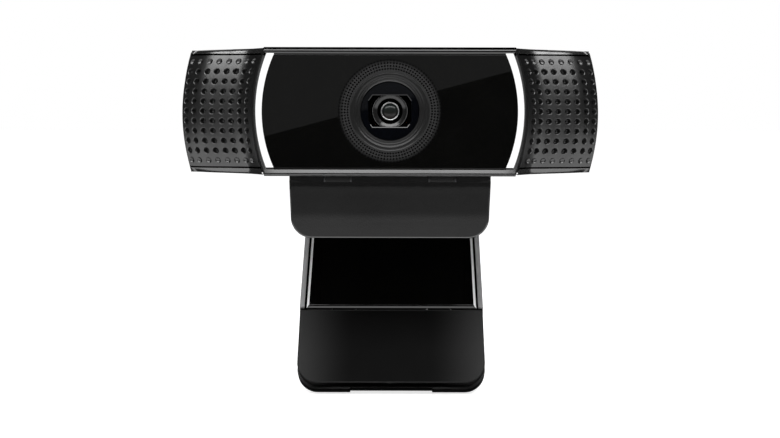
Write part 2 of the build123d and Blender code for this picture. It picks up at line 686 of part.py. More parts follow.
def grille():
    """The right wing's perforated cover."""
    outer = grille_form(SEAM, 0, 0)
    inner = grille_form(SEAM + GRILLE_WALL, GRILLE_WALL, GRILLE_WALL)
    return (outer - inner).cut(*perforations())


def window():
    """Glossy front panel between the light guides."""
    panel = prism_y(centre_face(GUIDE_IN - SEAM, WINDOW_H - SEAM), (WINDOW_SINK, LEDGE_FACE))
    return panel - rod_y(TRIM_OUT_R, (0, FRAME_D))


def lens_trim_ring():
    """Finely grooved ring round the lens opening."""
    ring = rod_y(TRIM_OUT_R - SEAM, (WINDOW_SINK, LEDGE_FACE)) - rod_y(TRIM_IN_R, (0, FRAME_D))
    radius = TRIM_IN_R + TRIM_GROOVE_PITCH
    while radius < TRIM_OUT_R - TRIM_GROOVE_PITCH:
        groove = (WINDOW_SINK, WINDOW_SINK + TRIM_GROOVE_D)
        ring -= rod_y(radius + TRIM_GROOVE_D / 2, groove) - rod_y(radius - TRIM_GROOVE_D / 2, groove)
        radius += TRIM_GROOVE_PITCH
    return ring


def aperture_face():
    """The lens opening: a wide rectangle with large chamfers."""
    x_out, x_top = APERTURE_W / 2, APERTURE_TOP_W / 2
    z_out, z_side = APERTURE_H / 2, APERTURE_SIDE_H / 2
    corners = [(x_out, 0, z_side), (x_top, 0, z_out), (-x_top, 0, z_out), (-x_out, 0, z_side),
               (-x_out, 0, -z_side), (-x_top, 0, -z_out), (x_top, 0, -z_out), (x_out, 0, -z_side)]
    return Face(Wire(Polyline(*corners, close=True).edges()))


def aperture_bezel():
    """Black disc with the lens opening."""
    disc = rod_y(TRIM_IN_R - SEAM, (WINDOW_SINK, WINDOW_SINK + BEZEL_T))
    return disc - prism_y(aperture_face(), (0, FRAME_D))


def build_shells():
    keep("front_frame", front_frame(), HEAD_PLACE)
    keep("rear_housing", rear_housing(), HEAD_PLACE)
    keep("window", window(), HEAD_PLACE)
    keep("lens_trim_ring", lens_trim_ring(), HEAD_PLACE)
    keep("aperture_bezel", aperture_bezel(), HEAD_PLACE)
    left, right = light_guides()
    keep("light_guide_left", left, HEAD_PLACE)
    keep("light_guide_right", right, HEAD_PLACE)
    cover = grille()
    keep("grille_right", cover, HEAD_PLACE)
    keep("grille_left", mirror(cover, Plane.YZ), HEAD_PLACE)
    gland = rod_y(GLAND_R, (HEAD_D - SHELL_WALL - GLAND_FLANGE_T, HEAD_D + GLAND_OUT), GLAND_X)
    gland += rod_y(GLAND_FLANGE_R, (HEAD_D - SHELL_WALL - GLAND_FLANGE_T, HEAD_D - SHELL_WALL), GLAND_X)
    gland -= rod_y(CORD_R, (0, HEAD_D + GLAND_OUT), GLAND_X)
    keep("cable_gland", gland, HEAD_PLACE)
    screws = [screw_y(x, z, HOUSING_SEAT, HOUSING_SCREW_L) for x, z in housing_screw_places()]
    keep("housing_screws", screws, HEAD_PLACE)


# ---- tilt bracket ----
def build_tilt_bracket():
    """Steel bracket: two knuckles on necks under a plate screwed to the housing's land."""
    half = LIP_W / 2 - BRACKET_INSET
    plate = block((-half, half), (TILT_SETBACK - BRACKET_D / 2, TILT_SETBACK + BRACKET_D / 2),
                  (LAND_TOP, LAND_TOP + BRACKET_T))
    body = plate
    for span in hinge_spans(LIP_W)[1]:
        body += rod_x(TILT_R, span, TILT_SETBACK, TILT_LOCAL_Z)
        body += block(span, (TILT_SETBACK - TILT_NECK_T / 2, TILT_SETBACK + TILT_NECK_T / 2),
                      (TILT_LOCAL_Z, LAND_TOP))
        body -= rod_x(TILT_PIN_R + PIN_CLEAR, span, TILT_SETBACK, TILT_LOCAL_Z)
    screws = []
    for x in bracket_screw_places():
        body -= rod_z(SCREW_R, (LAND_TOP, LAND_TOP + BRACKET_T), x, TILT_SETBACK)
        top = LAND_TOP + BRACKET_T
        screw = rod_z(SCREW_R, (LAND_TOP - BRACKET_SCREW_L, top), x, TILT_SETBACK)
        screws.append(screw + rod_z(SCREW_HEAD_R, (top, top + SCREW_HEAD_T / 2), x, TILT_SETBACK))
    keep("tilt_bracket", body, HEAD_PLACE)
    keep("tilt_bracket_screws", screws, HEAD_PLACE)


# ---- camera module ----
def build_camera():
    """Focusing lens in its holder, in front of the sensor."""
    back = BARREL_FRONT + BARREL_L
    barrel = rod_y(BARREL_R, (BARREL_FRONT, back)) - rod_y(LENS_R, (BARREL_FRONT, back))
    cone = Pos(0, BARREL_FRONT + BAFFLE_D / 2, 0) * Rot(90, 0, 0) * Cone(LENS_R, BAFFLE_R, BAFFLE_D)
    keep("lens_barrel", barrel - cone, HEAD_PLACE)
    pitch = (BARREL_L - BAFFLE_D) / LENS_COUNT
    lenses = []
    for index in range(LENS_COUNT):
        start = BARREL_FRONT + BAFFLE_D + pitch * index
        lenses.append(rod_y(LENS_R, (start, start + LENS_T)))
    keep("lens_elements", lenses, HEAD_PLACE)
    coil_start = HOLDER_FRONT + HOLDER_FACE_T + SPRING_T + HINGE_CLEAR * 2
    coil = (coil_start, coil_start + COIL_L)
    keep("focus_coil", rod_y(BARREL_R + COIL_T, coil) - rod_y(BARREL_R, coil), HEAD_PLACE)
    room_r = BARREL_R + COIL_T + HINGE_CLEAR
    half = HOLDER_W / 2
    holder = block((-half, half), (HOLDER_FRONT, BOARD_FACE), (-half, half))
    holder -= rod_y(BARREL_R + FOCUS_CLEAR, (HOLDER_FRONT, HOLDER_FRONT + HOLDER_FACE_T))
    holder -= rod_y(room_r, (HOLDER_FRONT + HOLDER_FACE_T, BOARD_FACE))
    magnets = []
    reach = half - MAGNET_SIZE / 2 - SCREW_R
    side = MAGNET_SIZE / 2
    span = (coil_start - HINGE_CLEAR, coil_start + COIL_L)
    for x, z in corner_places(reach, -reach, reach):
        magnet = block((x - side, x + side), span, (z - side, z + side))
        magnets.append(magnet)
        holder -= magnet
    keep("lens_holder", holder, HEAD_PLACE)
    keep("focus_magnets", magnets, HEAD_PLACE)
    springs = []
    rear_spring = BARREL_FRONT + BARREL_L - SPRING_T - HINGE_CLEAR
    for start in (HOLDER_FRONT + HOLDER_FACE_T, rear_spring):
        ring = rod_y(room_r, (start, start + SPRING_T))
        springs.append(ring - rod_y(BARREL_R + FOCUS_CLEAR, (start, start + SPRING_T)))
    keep("focus_springs", springs, HEAD_PLACE)
    sensor_x = (-SENSOR_W / 2, SENSOR_W / 2)
    sensor_z = (-SENSOR_H / 2, SENSOR_H / 2)
    filter_back = BOARD_FACE - SENSOR_T
    keep("image_sensor", block(sensor_x, (filter_back, BOARD_FACE), sensor_z), HEAD_PLACE)
    glass = block(sensor_x, (filter_back - FILTER_T, filter_back), sensor_z)
    keep("ir_filter", glass, HEAD_PLACE)


# ---- boards ----
def build_boards():
    """Main board with what it carries, LED boards and microphones."""
    board_back = BOARD_FACE + BOARD_T
    board = block((-BOARD_W / 2, BOARD_W / 2), (BOARD_FACE, board_back), (BOARD_LOW, BOARD_HIGH))
    places = board_screw_places()
    for x, z in places:
        board -= rod_y(SCREW_R, (BOARD_FACE, board_back), x, z)
    keep("main_board", board, HEAD_PLACE)
    length = SCREW_L + BOARD_T
    keep("board_screws", [screw_y(x, z, board_back, length) for x, z in places], HEAD_PLACE)
    x_span = (SHIELD_X - SHIELD_W / 2, SHIELD_X + SHIELD_W / 2)
    z_span = (SHIELD_Z - SHIELD_H / 2, SHIELD_Z + SHIELD_H / 2)
    pad_face = board_back + SHIELD_T
    inner_x = (x_span[0] + SHIELD_WALL, x_span[1] - SHIELD_WALL)
    inner_z = (z_span[0] + SHIELD_WALL, z_span[1] - SHIELD_WALL)
    shield = block(x_span, (board_back, pad_face), z_span)
    shield -= block(inner_x, (board_back, pad_face - SHIELD_WALL), inner_z)
    keep("shield_can", shield, HEAD_PLACE)
    pad_w = SHIELD_W * THERMAL_PAD_SHARE
    pad_h = SHIELD_H * THERMAL_PAD_SHARE
    pad = Pos(SHIELD_X, pad_face + THERMAL_PAD_T / 2, SHIELD_Z) * Box(pad_w, THERMAL_PAD_T, pad_h)
    keep("thermal_pad", pad, HEAD_PLACE)
    header = block((HEADER_X - HEADER_W / 2, HEADER_X + HEADER_W / 2), (board_back, board_back + HEADER_T),
                   (-HEADER_H / 2, HEADER_H / 2))
    keep("usb_header", header, HEAD_PLACE)
    leds = []
    strip_y = (FRAME_D + LED_T, FRAME_D + LED_T + LED_BOARD_T)
    strips = prism_y(centre_face(GUIDE_OUT - SEAM, LED_BOARD_H / 2), strip_y)
    strips -= prism_y(centre_face(GUIDE_IN - LED_BOARD_EDGE, HEAD_H), strip_y)
    led_strips = strips.solids().sort_by(Axis.X)
    for index, (side, name) in enumerate(((-1, "left"), (1, "right"))):
        keep("led_board_" + name, led_strips[index], HEAD_PLACE)
        boot_r = MIC_R + BOOT_WALL
        mic_back = MIC_FRONT + MIC_T
        boot = rod_y(boot_r, (MIC_FRONT, mic_back + BOOT_WALL), side * MIC_X)
        mic = rod_y(MIC_R, (MIC_FRONT, mic_back), side * MIC_X)
        keep("microphone_boot_" + name, boot - mic, HEAD_PLACE)
        keep("microphone_" + name, mic, HEAD_PLACE)
    for x, z in guide_peg_places():
        half = LED_SIZE / 2
        leds.append(block((x - half, x + half), (FRAME_D, FRAME_D + LED_T), (z - half, z + half)))
    keep("leds", leds, HEAD_PLACE)


def main():
    build_clip()
    build_leg()
    build_shells()
    build_tilt_bracket()
    build_camera()
    build_boards()
    os.makedirs("parts", exist_ok=True)
    for name, solids in PARTS.items():
        shape = solids[0] if len(solids) == 1 else Compound(children=solids)
        export_step(shape, f"parts/{name}.step")


main()
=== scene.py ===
"""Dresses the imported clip-on webcam: smooth shells, perforated grilles, lit guides and moulded finishes."""

import math

import bmesh
import bpy
import numpy as np
from mathutils import Euler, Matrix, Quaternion, Vector


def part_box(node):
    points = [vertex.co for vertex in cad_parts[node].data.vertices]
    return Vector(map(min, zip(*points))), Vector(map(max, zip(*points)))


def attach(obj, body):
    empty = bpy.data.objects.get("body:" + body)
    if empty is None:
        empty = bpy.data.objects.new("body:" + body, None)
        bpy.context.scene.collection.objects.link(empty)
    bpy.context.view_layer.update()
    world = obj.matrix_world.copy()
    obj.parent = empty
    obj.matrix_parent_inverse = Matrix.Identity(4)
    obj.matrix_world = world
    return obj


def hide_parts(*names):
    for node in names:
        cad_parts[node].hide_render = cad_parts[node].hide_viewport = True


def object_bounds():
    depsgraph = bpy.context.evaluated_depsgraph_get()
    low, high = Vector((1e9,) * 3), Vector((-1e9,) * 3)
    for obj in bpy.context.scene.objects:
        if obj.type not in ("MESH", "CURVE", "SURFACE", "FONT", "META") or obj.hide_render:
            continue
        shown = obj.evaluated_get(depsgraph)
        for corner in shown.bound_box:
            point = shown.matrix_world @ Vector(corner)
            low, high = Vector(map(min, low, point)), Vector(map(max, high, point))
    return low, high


bl_info = {
    "name": "Clip-on webcam",
    "version": (1, 0, 0),
    "blender": (4, 5, 0),
    "location": "3D View > Sidebar > Webcam",
    "description": "Builds the visible shells, grilles, lens and clip of a webcam round its packed frame",
    "category": "Object",
}

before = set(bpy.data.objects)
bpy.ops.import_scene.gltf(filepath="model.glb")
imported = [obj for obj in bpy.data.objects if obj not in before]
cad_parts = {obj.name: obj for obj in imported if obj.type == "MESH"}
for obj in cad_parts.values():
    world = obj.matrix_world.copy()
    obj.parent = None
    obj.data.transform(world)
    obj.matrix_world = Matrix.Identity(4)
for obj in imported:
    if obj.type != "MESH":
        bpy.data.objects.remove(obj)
CAD_BOX = [list(corner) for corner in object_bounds()]

# Places and sizes are in millimetres, and so are depths, which run back from the head's front face.
MM = 0.001
FRAME_LOW, FRAME_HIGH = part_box("front_frame")
FRONT_Y = FRAME_LOW.y / MM
LENS_Z = (FRAME_LOW.z + FRAME_HIGH.z) / 2 / MM
HALF_WIDTH = FRAME_HIGH.x / MM
HALF_HEIGHT = (FRAME_HIGH.z - FRAME_LOW.z) / 2 / MM
LENS_RISE = 0.16        # lens above the frame's middle
WINDOW_RISE = 0.04      # window above the frame's middle
CAMERA = (0.0045, -0.434, 0.0212)


# ---------------------------------------------------------------- settings

def length(label, text, value):
    """A length in millimetres that shows in the sidebar."""
    return bpy.props.FloatProperty(
        name=label, description=text, default=value, min=0.0, precision=3, subtype="DISTANCE_CAMERA")


def scaled(colour, share=1.0):
    """A colour, or a grey given as one number, made lighter or darker."""
    return tuple(min(1.0, c * share) for c in ((colour,) * 3 if isinstance(colour, float) else colour))


def tint(label, text, value):
    """A linear colour that shows in the sidebar."""
    return bpy.props.FloatVectorProperty(
        name=label, description=text, default=scaled(value), size=3, min=0.0, max=1.0, subtype="COLOR")


class HeadSizes(bpy.types.PropertyGroup):
    """Sizes of the head, in millimetres."""
    rail: length("Frame rail", "Height of the frame above and below the window", 1.56)
    side: length("Frame side", "Width of the frame beside the light guides", 0.8)
    frame_bow: length("Frame bow", "Radius of the frame's bowed sides", 40.0)
    guide_width: length("Guide width", "Width of the lit strips", 1.37)
    guide_bow: length("Guide bow", "Radius of the lit strips' outer edge", 35.0)
    window_bow: length("Window bow", "Radius of the window's sides", 31.2)
    trim_radius: length("Trim radius", "Outer radius of the grooved ring", 9.35)
    trim_inner: length("Trim inner radius", "Inner radius of the grooved ring", 6.66)
    lens_radius: length("Lens radius", "Radius of the lens rim", 2.13)


class GrilleSizes(bpy.types.PropertyGroup):
    """Sizes of the two perforated wings, in millimetres."""
    reach: length("Reach", "Width of a wing beyond the frame", 16.55)
    crown: length("Crown radius", "Radius of the face's bulge from top to bottom", 70.0)
    hole_radius: length("Hole radius", "Radius of a perforation", 0.63)
    rim_radius: length("Rim radius", "Radius of the rounded rim", 0.8)
    hole_depth: length("Hole depth", "Depth of a perforation", 1.5)
    row_pitch: length("Row pitch", "Distance between rows", 2.24)
    columns: bpy.props.IntProperty(name="Columns", description="Perforations across a wing", default=8, min=1)
    rows: bpy.props.IntProperty(name="Rows", description="Perforations down a wing", default=11, min=3)


class Finishes(bpy.types.PropertyGroup):
    """Colours of the mouldings and the lit parts."""
    housing: tint("Housing", "Satin black of the head's shells", 0.009)
    grille: tint("Grille", "Semi-gloss black of the wings", 0.004)
    window: tint("Window", "High gloss black of the window", (0.0012, 0.0012, 0.0011))
    trim: tint("Trim", "Grey of the grooved ring", 0.0075)
    clip: tint("Clip", "Grained black of the clip", 0.0042)
    # painted light: the rails' grey stands in for the light falling on them
    rail: tint("Rails", "Grey of the leg's rails", (0.155, 0.155, 0.157))
    pad: tint("Pads", "Soft black of the rubber pads", 0.003)
    guide: tint("Guides", "Lit white of the guides", 1.0)


# ---------------------------------------------------------------- mesh helpers

def place_of(point):
    """A point's x, depth and height on the head, in millimetres, from its place in metres."""
    return point[0] / MM, point[1] / MM - FRONT_Y, point[2] / MM - LENS_Z


def repaint(mesh, look):
    """Give each face the finish whose number look returns for it, unless that is 0."""
    for face in mesh.polygons:
        face.material_index = int(look(face)) or face.material_index


def plain_mesh(name, points, faces):
    """A mesh from points in metres."""
    mesh = bpy.data.meshes.new(name)
    mesh.from_pydata(points, [], faces)
    return mesh


def new_object(name, data):
    """An object that holds this data, in the scene."""
    made = bpy.data.objects.new(name, data)
    bpy.context.scene.collection.objects.link(made)
    return made


def add_piece(name, skin, *dress, **more):
    """Make a mesh from points in millimetres and their faces, and dress it."""
    points, faces = skin
    return dress_mesh(plain_mesh(name, [Vector(p) * MM for p in points], faces), name, *dress, **more)


def dress_mesh(mesh, name, body, looks=(), slot=None, replaces=(), sharp=38.0, outward=False):
    """Clean a mesh, give it its finishes and hang it on its body."""
    work = bmesh.new()
    work.from_mesh(mesh)
    bmesh.ops.remove_doubles(work, verts=work.verts, dist=1e-6)
    bmesh.ops.dissolve_degenerate(work, edges=work.edges, dist=1e-7)
    if outward:
        bmesh.ops.recalc_face_normals(work, faces=work.faces)
    work.to_mesh(mesh)
    work.free()
    mesh.shade_smooth()
    mesh.set_sharp_from_angle(angle=math.radians(sharp))
    for label in (looks,) if isinstance(looks, str) else looks:
        mesh.materials.append(finish(label))
    piece = new_object(name, mesh)
    if replaces:
        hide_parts(*replaces)
    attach(piece, body)
    return piece


def loft(rings, closed=True, cap_first=False, cap_last=False):
    """Points and faces of a skin through rings that have equal counts."""
    count = len(rings[0])
    points = [tuple(p) for ring in rings for p in ring]
    faces = []
    for r in range(len(rings) - 1):
        for i in range(count if closed else count - 1):
            j = (i + 1) % count
            faces.append((r * count + i, r * count + j, (r + 1) * count + j, (r + 1) * count + i))
    if cap_first:
        faces.append(tuple(reversed(range(count))))
    if cap_last:
        faces.append(tuple(range((len(rings) - 1) * count, len(rings) * count)))
    return points, faces


def merged(*parts):
    """Several (points, faces) pairs as one."""
    points, faces = [], []
    for more_points, more_faces in parts:
        base = len(points)
        points += more_points
        faces += [tuple(base + i for i in face) for face in more_faces]
    return points, faces


def turned_over(faces):
    """Faces that look the other way."""
    return [tuple(reversed(face)) for face in faces]


def between(a, b, share):
    """The point a share of the way from one point to another."""
    return a[0] + (b[0] - a[0]) * share, a[1] + (b[1] - a[1]) * share


def head_point(x, depth, z):
    """A point of the head, given by its depth and its height from the frame's middle."""
    return (x, FRONT_Y + depth, LENS_Z + z)


def lens_ring(angles, radius, depth):
    """Points about the lens axis."""
    return [head_point(radius * math.cos(a), depth, LENS_RISE + radius * math.sin(a)) for a in angles]


def lathe(profile, steps=96):
    """Rings about the lens axis from (radius, depth) pairs."""
    angles = [2 * math.pi * i / steps for i in range(steps)]
    return [lens_ring(angles, radius, depth) for radius, depth in profile]


def sagitta(radius, z):
    """How far an arc has fallen back at a height, or at an array of heights."""
    return radius - np.sqrt(radius * radius - z * z)


def bowed_outline(half_width, half_height, bow, rise=0.0):
    """A loop in XZ with straight top and bottom and bowed sides, from the top right corner clockwise."""
    across, down = 24, 40
    rows = [half_height * (1 - 2 * i / down) for i in range(down)]
    low = half_width - sagitta(bow, half_height)
    columns = [low * (1 - 2 * i / across) for i in range(across)]
    loop = [(half_width - sagitta(bow, z), z) for z in rows] + [(x, -half_height) for x in columns]
    loop += [(sagitta(bow, z) - half_width, -z) for z in rows] + [(-x, half_height) for x in columns]
    return [(x, z + rise) for x, z in loop]


def smooth_curve(xs, ys, x):
    """A monotone curve through points, read at x."""
    xs, ys, x = (np.asarray(v, float) for v in (xs, ys, x))
    width = np.diff(xs)
    slope = np.diff(ys) / width
    tangent = np.empty_like(ys)
    tangent[1:-1] = (slope[:-1] * width[1:] + slope[1:] * width[:-1]) / (width[1:] + width[:-1])
    tangent[0], tangent[-1] = slope[0], slope[-1]
    i = np.clip(np.searchsorted(xs, x) - 1, 0, len(width) - 1)
    t = (x - xs[i]) / width[i]
    a, b = (1 + 2 * t) * (1 - t) ** 2, t * (1 - t) ** 2
    c, d = t * t * (3 - 2 * t), t * t * (t - 1)
    return a * ys[i] + b * width[i] * tangent[i] + c * ys[i + 1] + d * width[i] * tangent[i + 1]


def softened_copy(node, width):
    """A merged copy of a CAD node's mesh with its sharp edges rounded."""
    weld, flat, sharp = 2e-6, math.radians(0.6), math.radians(28.0)
    work = bmesh.new()
    work.from_mesh(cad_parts[node].data)
    bmesh.ops.remove_doubles(work, verts=work.verts, dist=weld)
    bmesh.ops.dissolve_degenerate(work, edges=work.edges, dist=weld)
    bmesh.ops.dissolve_limit(work, angle_limit=flat, verts=work.verts, edges=work.edges)
    edges = [e for e in work.edges if len(e.link_faces) == 2 and e.calc_face_angle(0.0) > sharp]
    bmesh.ops.bevel(
        work, geom=edges, offset=width * MM, offset_type="OFFSET", segments=2, profile=0.5,
        affect="EDGES", clamp_overlap=True)
    bmesh.ops.triangulate(work, faces=[f for f in work.faces if len(f.verts) > 4])
    mesh = bpy.data.meshes.new(node + "_soft")
    work.to_mesh(mesh)
    work.free()
    return mesh


def mesh_array(mesh, key="co"):
    """A mesh's points or normals, as an array."""
    values = np.empty(len(mesh.vertices) * 3)
    mesh.vertices.foreach_get(key, values)
    return values.reshape(-1, 3)


def moved_mesh(mesh, change):
    """Apply a function to all of a mesh's points, as an array in millimetres."""
    mesh.vertices.foreach_set("co", (change(mesh_array(mesh)) * MM).ravel())
    mesh.update()
    return mesh


# ---------------------------------------------------------------- node helpers

class NodeBuilder:
    """Short hand for adding and joining nodes."""

    def __init__(self, tree):
        self.tree = tree

    def feed(self, node, values):
        """Link or set a node's inputs. A colour is given without its alpha."""
        for key, value in values.items():
            socket = node.inputs[key]
            if isinstance(value, bpy.types.NodeSocket):
                self.tree.links.new(value, socket)
            else:
                socket.default_value = (*value, 1.0) if socket.type == "RGBA" else value

    def add(self, kind, values=None, **settings):
        """Add a node, set its properties and feed it."""
        node = self.tree.nodes.new(kind)
        for key, value in settings.items():
            setattr(node, key, value)
        self.feed(node, values or {})
        return node

    def math(self, operation, *values, **settings):
        """A Math node's value."""
        return self.add("ShaderNodeMath", dict(enumerate(values)), operation=operation, **settings).outputs[0]

    def plus(self, a, b):
        return self.math("ADD", a, b)

    def minus(self, a, b):
        return self.math("SUBTRACT", a, b)

    def times(self, a, b):
        return self.math("MULTIPLY", a, b)

    def over(self, a, b):
        return self.math("DIVIDE", a, b)

    def absolute(self, value):
        return self.math("ABSOLUTE", value)

    def parts(self, vector):
        """A vector's three numbers."""
        return self.add("ShaderNodeSeparateXYZ", {0: vector}).outputs

    def vector(self, *numbers):
        """A vector from up to three numbers."""
        return self.add("ShaderNodeCombineXYZ", dict(enumerate(numbers))).outputs[0]


# ---------------------------------------------------------------- finishes

class MaterialBuilder(NodeBuilder):
    """Makes one material, patterned on object coordinates."""

    PATTERN = (0.3, 0.7)        # span of a noise's value that is used
    WORN = (0.53, 0.6)          # pointiness from which an edge is worn, and at which it is fully so
    CLOUDS = 45.0               # scale of uneven gloss
    UNEVEN = 0.035              # its share of the roughness, either way

    def __init__(self, name):
        self.material = bpy.data.materials.new(name)
        self.material.use_nodes = True
        super().__init__(self.material.node_tree)
        self.shader = self.tree.nodes["Principled BSDF"]
        self.place = self.add("ShaderNodeTexCoord").outputs["Object"]

    def noise(self, scale, detail=2.0, stretch=None):
        """Noise, stretched along an axis if asked."""
        place = self.place
        if stretch:
            place = self.add("ShaderNodeMapping", {"Vector": place, "Scale": stretch}).outputs["Vector"]
        return self.add("ShaderNodeTexNoise", {"Vector": place, "Scale": scale, "Detail": detail}).outputs["Fac"]

    def ranged(self, value, low, high, start=PATTERN[0], end=PATTERN[1], curve="LINEAR"):
        """Map a value to a range."""
        return self.add("ShaderNodeMapRange", {
            "Value": value, "From Min": start, "From Max": end, "To Min": low, "To Max": high,
        }, interpolation_type=curve).outputs["Result"]

    def mixed(self, share, first, second):
        """A colour between two."""
        return self.add("ShaderNodeMix", {"Factor": share, 6: first, 7: second}, data_type="RGBA").outputs[2]

    def speckled(self, pattern, dark, light):
        """A colour that follows a pattern."""
        return self.mixed(self.ranged(pattern, 0.0, 1.0), dark, light)

    def worn(self, colour, edge):
        """Lighten a colour a little along worn edges."""
        pointed = self.add("ShaderNodeNewGeometry").outputs["Pointiness"]
        return self.mixed(self.ranged(pointed, 0.0, 0.5, *self.WORN), colour, edge)

    def painted_light_ramp(self, colour, shade, start, end, axis="X"):
        """Paint light on a colour: lighter from one distance off the middle to another, in millimetres along an
        axis.
        """
        away = self.absolute(self.parts(self.place)[axis])
        return self.mixed(self.ranged(away, 0.0, 1.0, start * MM, end * MM, "SMOOTHSTEP"), colour, (shade,) * 3)

    def bumped(self, height, strength, distance):
        """Feed a height into the shader's normal."""
        bump = self.add("ShaderNodeBump", {"Height": height, "Strength": strength, "Distance": distance})
        self.feed(self.shader, {"Normal": bump.outputs["Normal"]})

    def moulded(self, colour, rough, grain=2600.0, depth=0.00002, strength=0.35, variation=0.22, level=0.5,
                stretch=None, sides=None, ior=1.5):
        """Moulded plastic or rubber: a fine grain, uneven gloss, worn edges and, if asked, painted light that
        makes it paler away from the middle.
        """
        fine, broad = self.noise(grain, 2.0, stretch), self.noise(self.CLOUDS, 3.0)
        base = self.speckled(fine, scaled(colour, 1 - variation), scaled(colour, 1 + variation))
        base = self.worn(base, scaled(colour, 1.9))
        # painted light, if asked: paler away from the middle along one axis
        if sides:
            base = self.painted_light_ramp(base, *sides)
        self.feed(self.shader, {
            "Base Color": base, "Roughness": self.ranged(broad, rough - self.UNEVEN, rough + self.UNEVEN),
            "Specular IOR Level": level, "IOR": ior})
        self.bumped(fine, strength, depth)

    def metal(self, colour, rough, stretch=None):
        """Turned or pressed metal with fine tool marks."""
        marks = self.noise(1800.0, 2.0, stretch)
        self.feed(self.shader, {
            "Base Color": self.speckled(marks, scaled(colour, 0.86), scaled(colour, 1.0)), "Metallic": 1.0,
            "Roughness": self.ranged(marks, rough - 0.06, rough + 0.06)})
        self.bumped(marks, 0.15, 0.00001)

    def polished(self, colour, rough=0.04, level=0.5):
        """High gloss black with faint polishing haze."""
        haze = self.noise(120.0, 4.0)
        self.feed(self.shader, {
            "Base Color": self.speckled(haze, scaled(colour, 0.85), scaled(colour, 1.15)),
            "Roughness": self.ranged(haze, rough, rough * 1.4), "Specular IOR Level": level})

    def lit_white(self, colour):
        """Translucent white strip, lit from behind, with faint unevenness along its length."""
        cloud = self.noise(260.0)
        self.feed(self.shader, {
            "Base Color": (0.14,) * 3, "Emission Color": self.speckled(cloud, scaled(colour, 0.95), colour),
            "Emission Strength": 0.86, "Roughness": self.ranged(cloud, 0.28, 0.36)})

    def printed_halo(self, inner, outer, start, end):
        """Printed band round the lens that fades outwards into the window, from one radius to another."""
        place = self.parts(self.place)
        across = self.vector(place["X"], 0.0, self.minus(place["Z"], (LENS_Z + LENS_RISE) * MM))
        radius = self.add("ShaderNodeVectorMath", {0: across}, operation="LENGTH").outputs["Value"]
        fade = self.ranged(self.over(radius, MM), 0.0, 1.0, start, end)
        self.feed(self.shader, {
            "Base Color": self.mixed(fade, inner, outer), "Roughness": self.ranged(self.noise(3000.0), 0.16, 0.22),
            "Specular IOR Level": 0.35})

    def coated_glass(self):
        """Dark lens glass with a painted reflection: tinted cool above and warm below."""
        middle, reach = (LENS_Z + LENS_RISE) * MM, 1.8 * MM
        height = self.ranged(self.parts(self.place)["Z"], 0.0, 1.0, middle - reach, middle + reach)
        self.feed(self.shader, {
            "Base Color": self.mixed(height, (0.01, 0.007, 0.0065), (0.005, 0.01, 0.009)),
            "Roughness": self.ranged(self.noise(900.0), 0.16, 0.2), "IOR": 1.28})


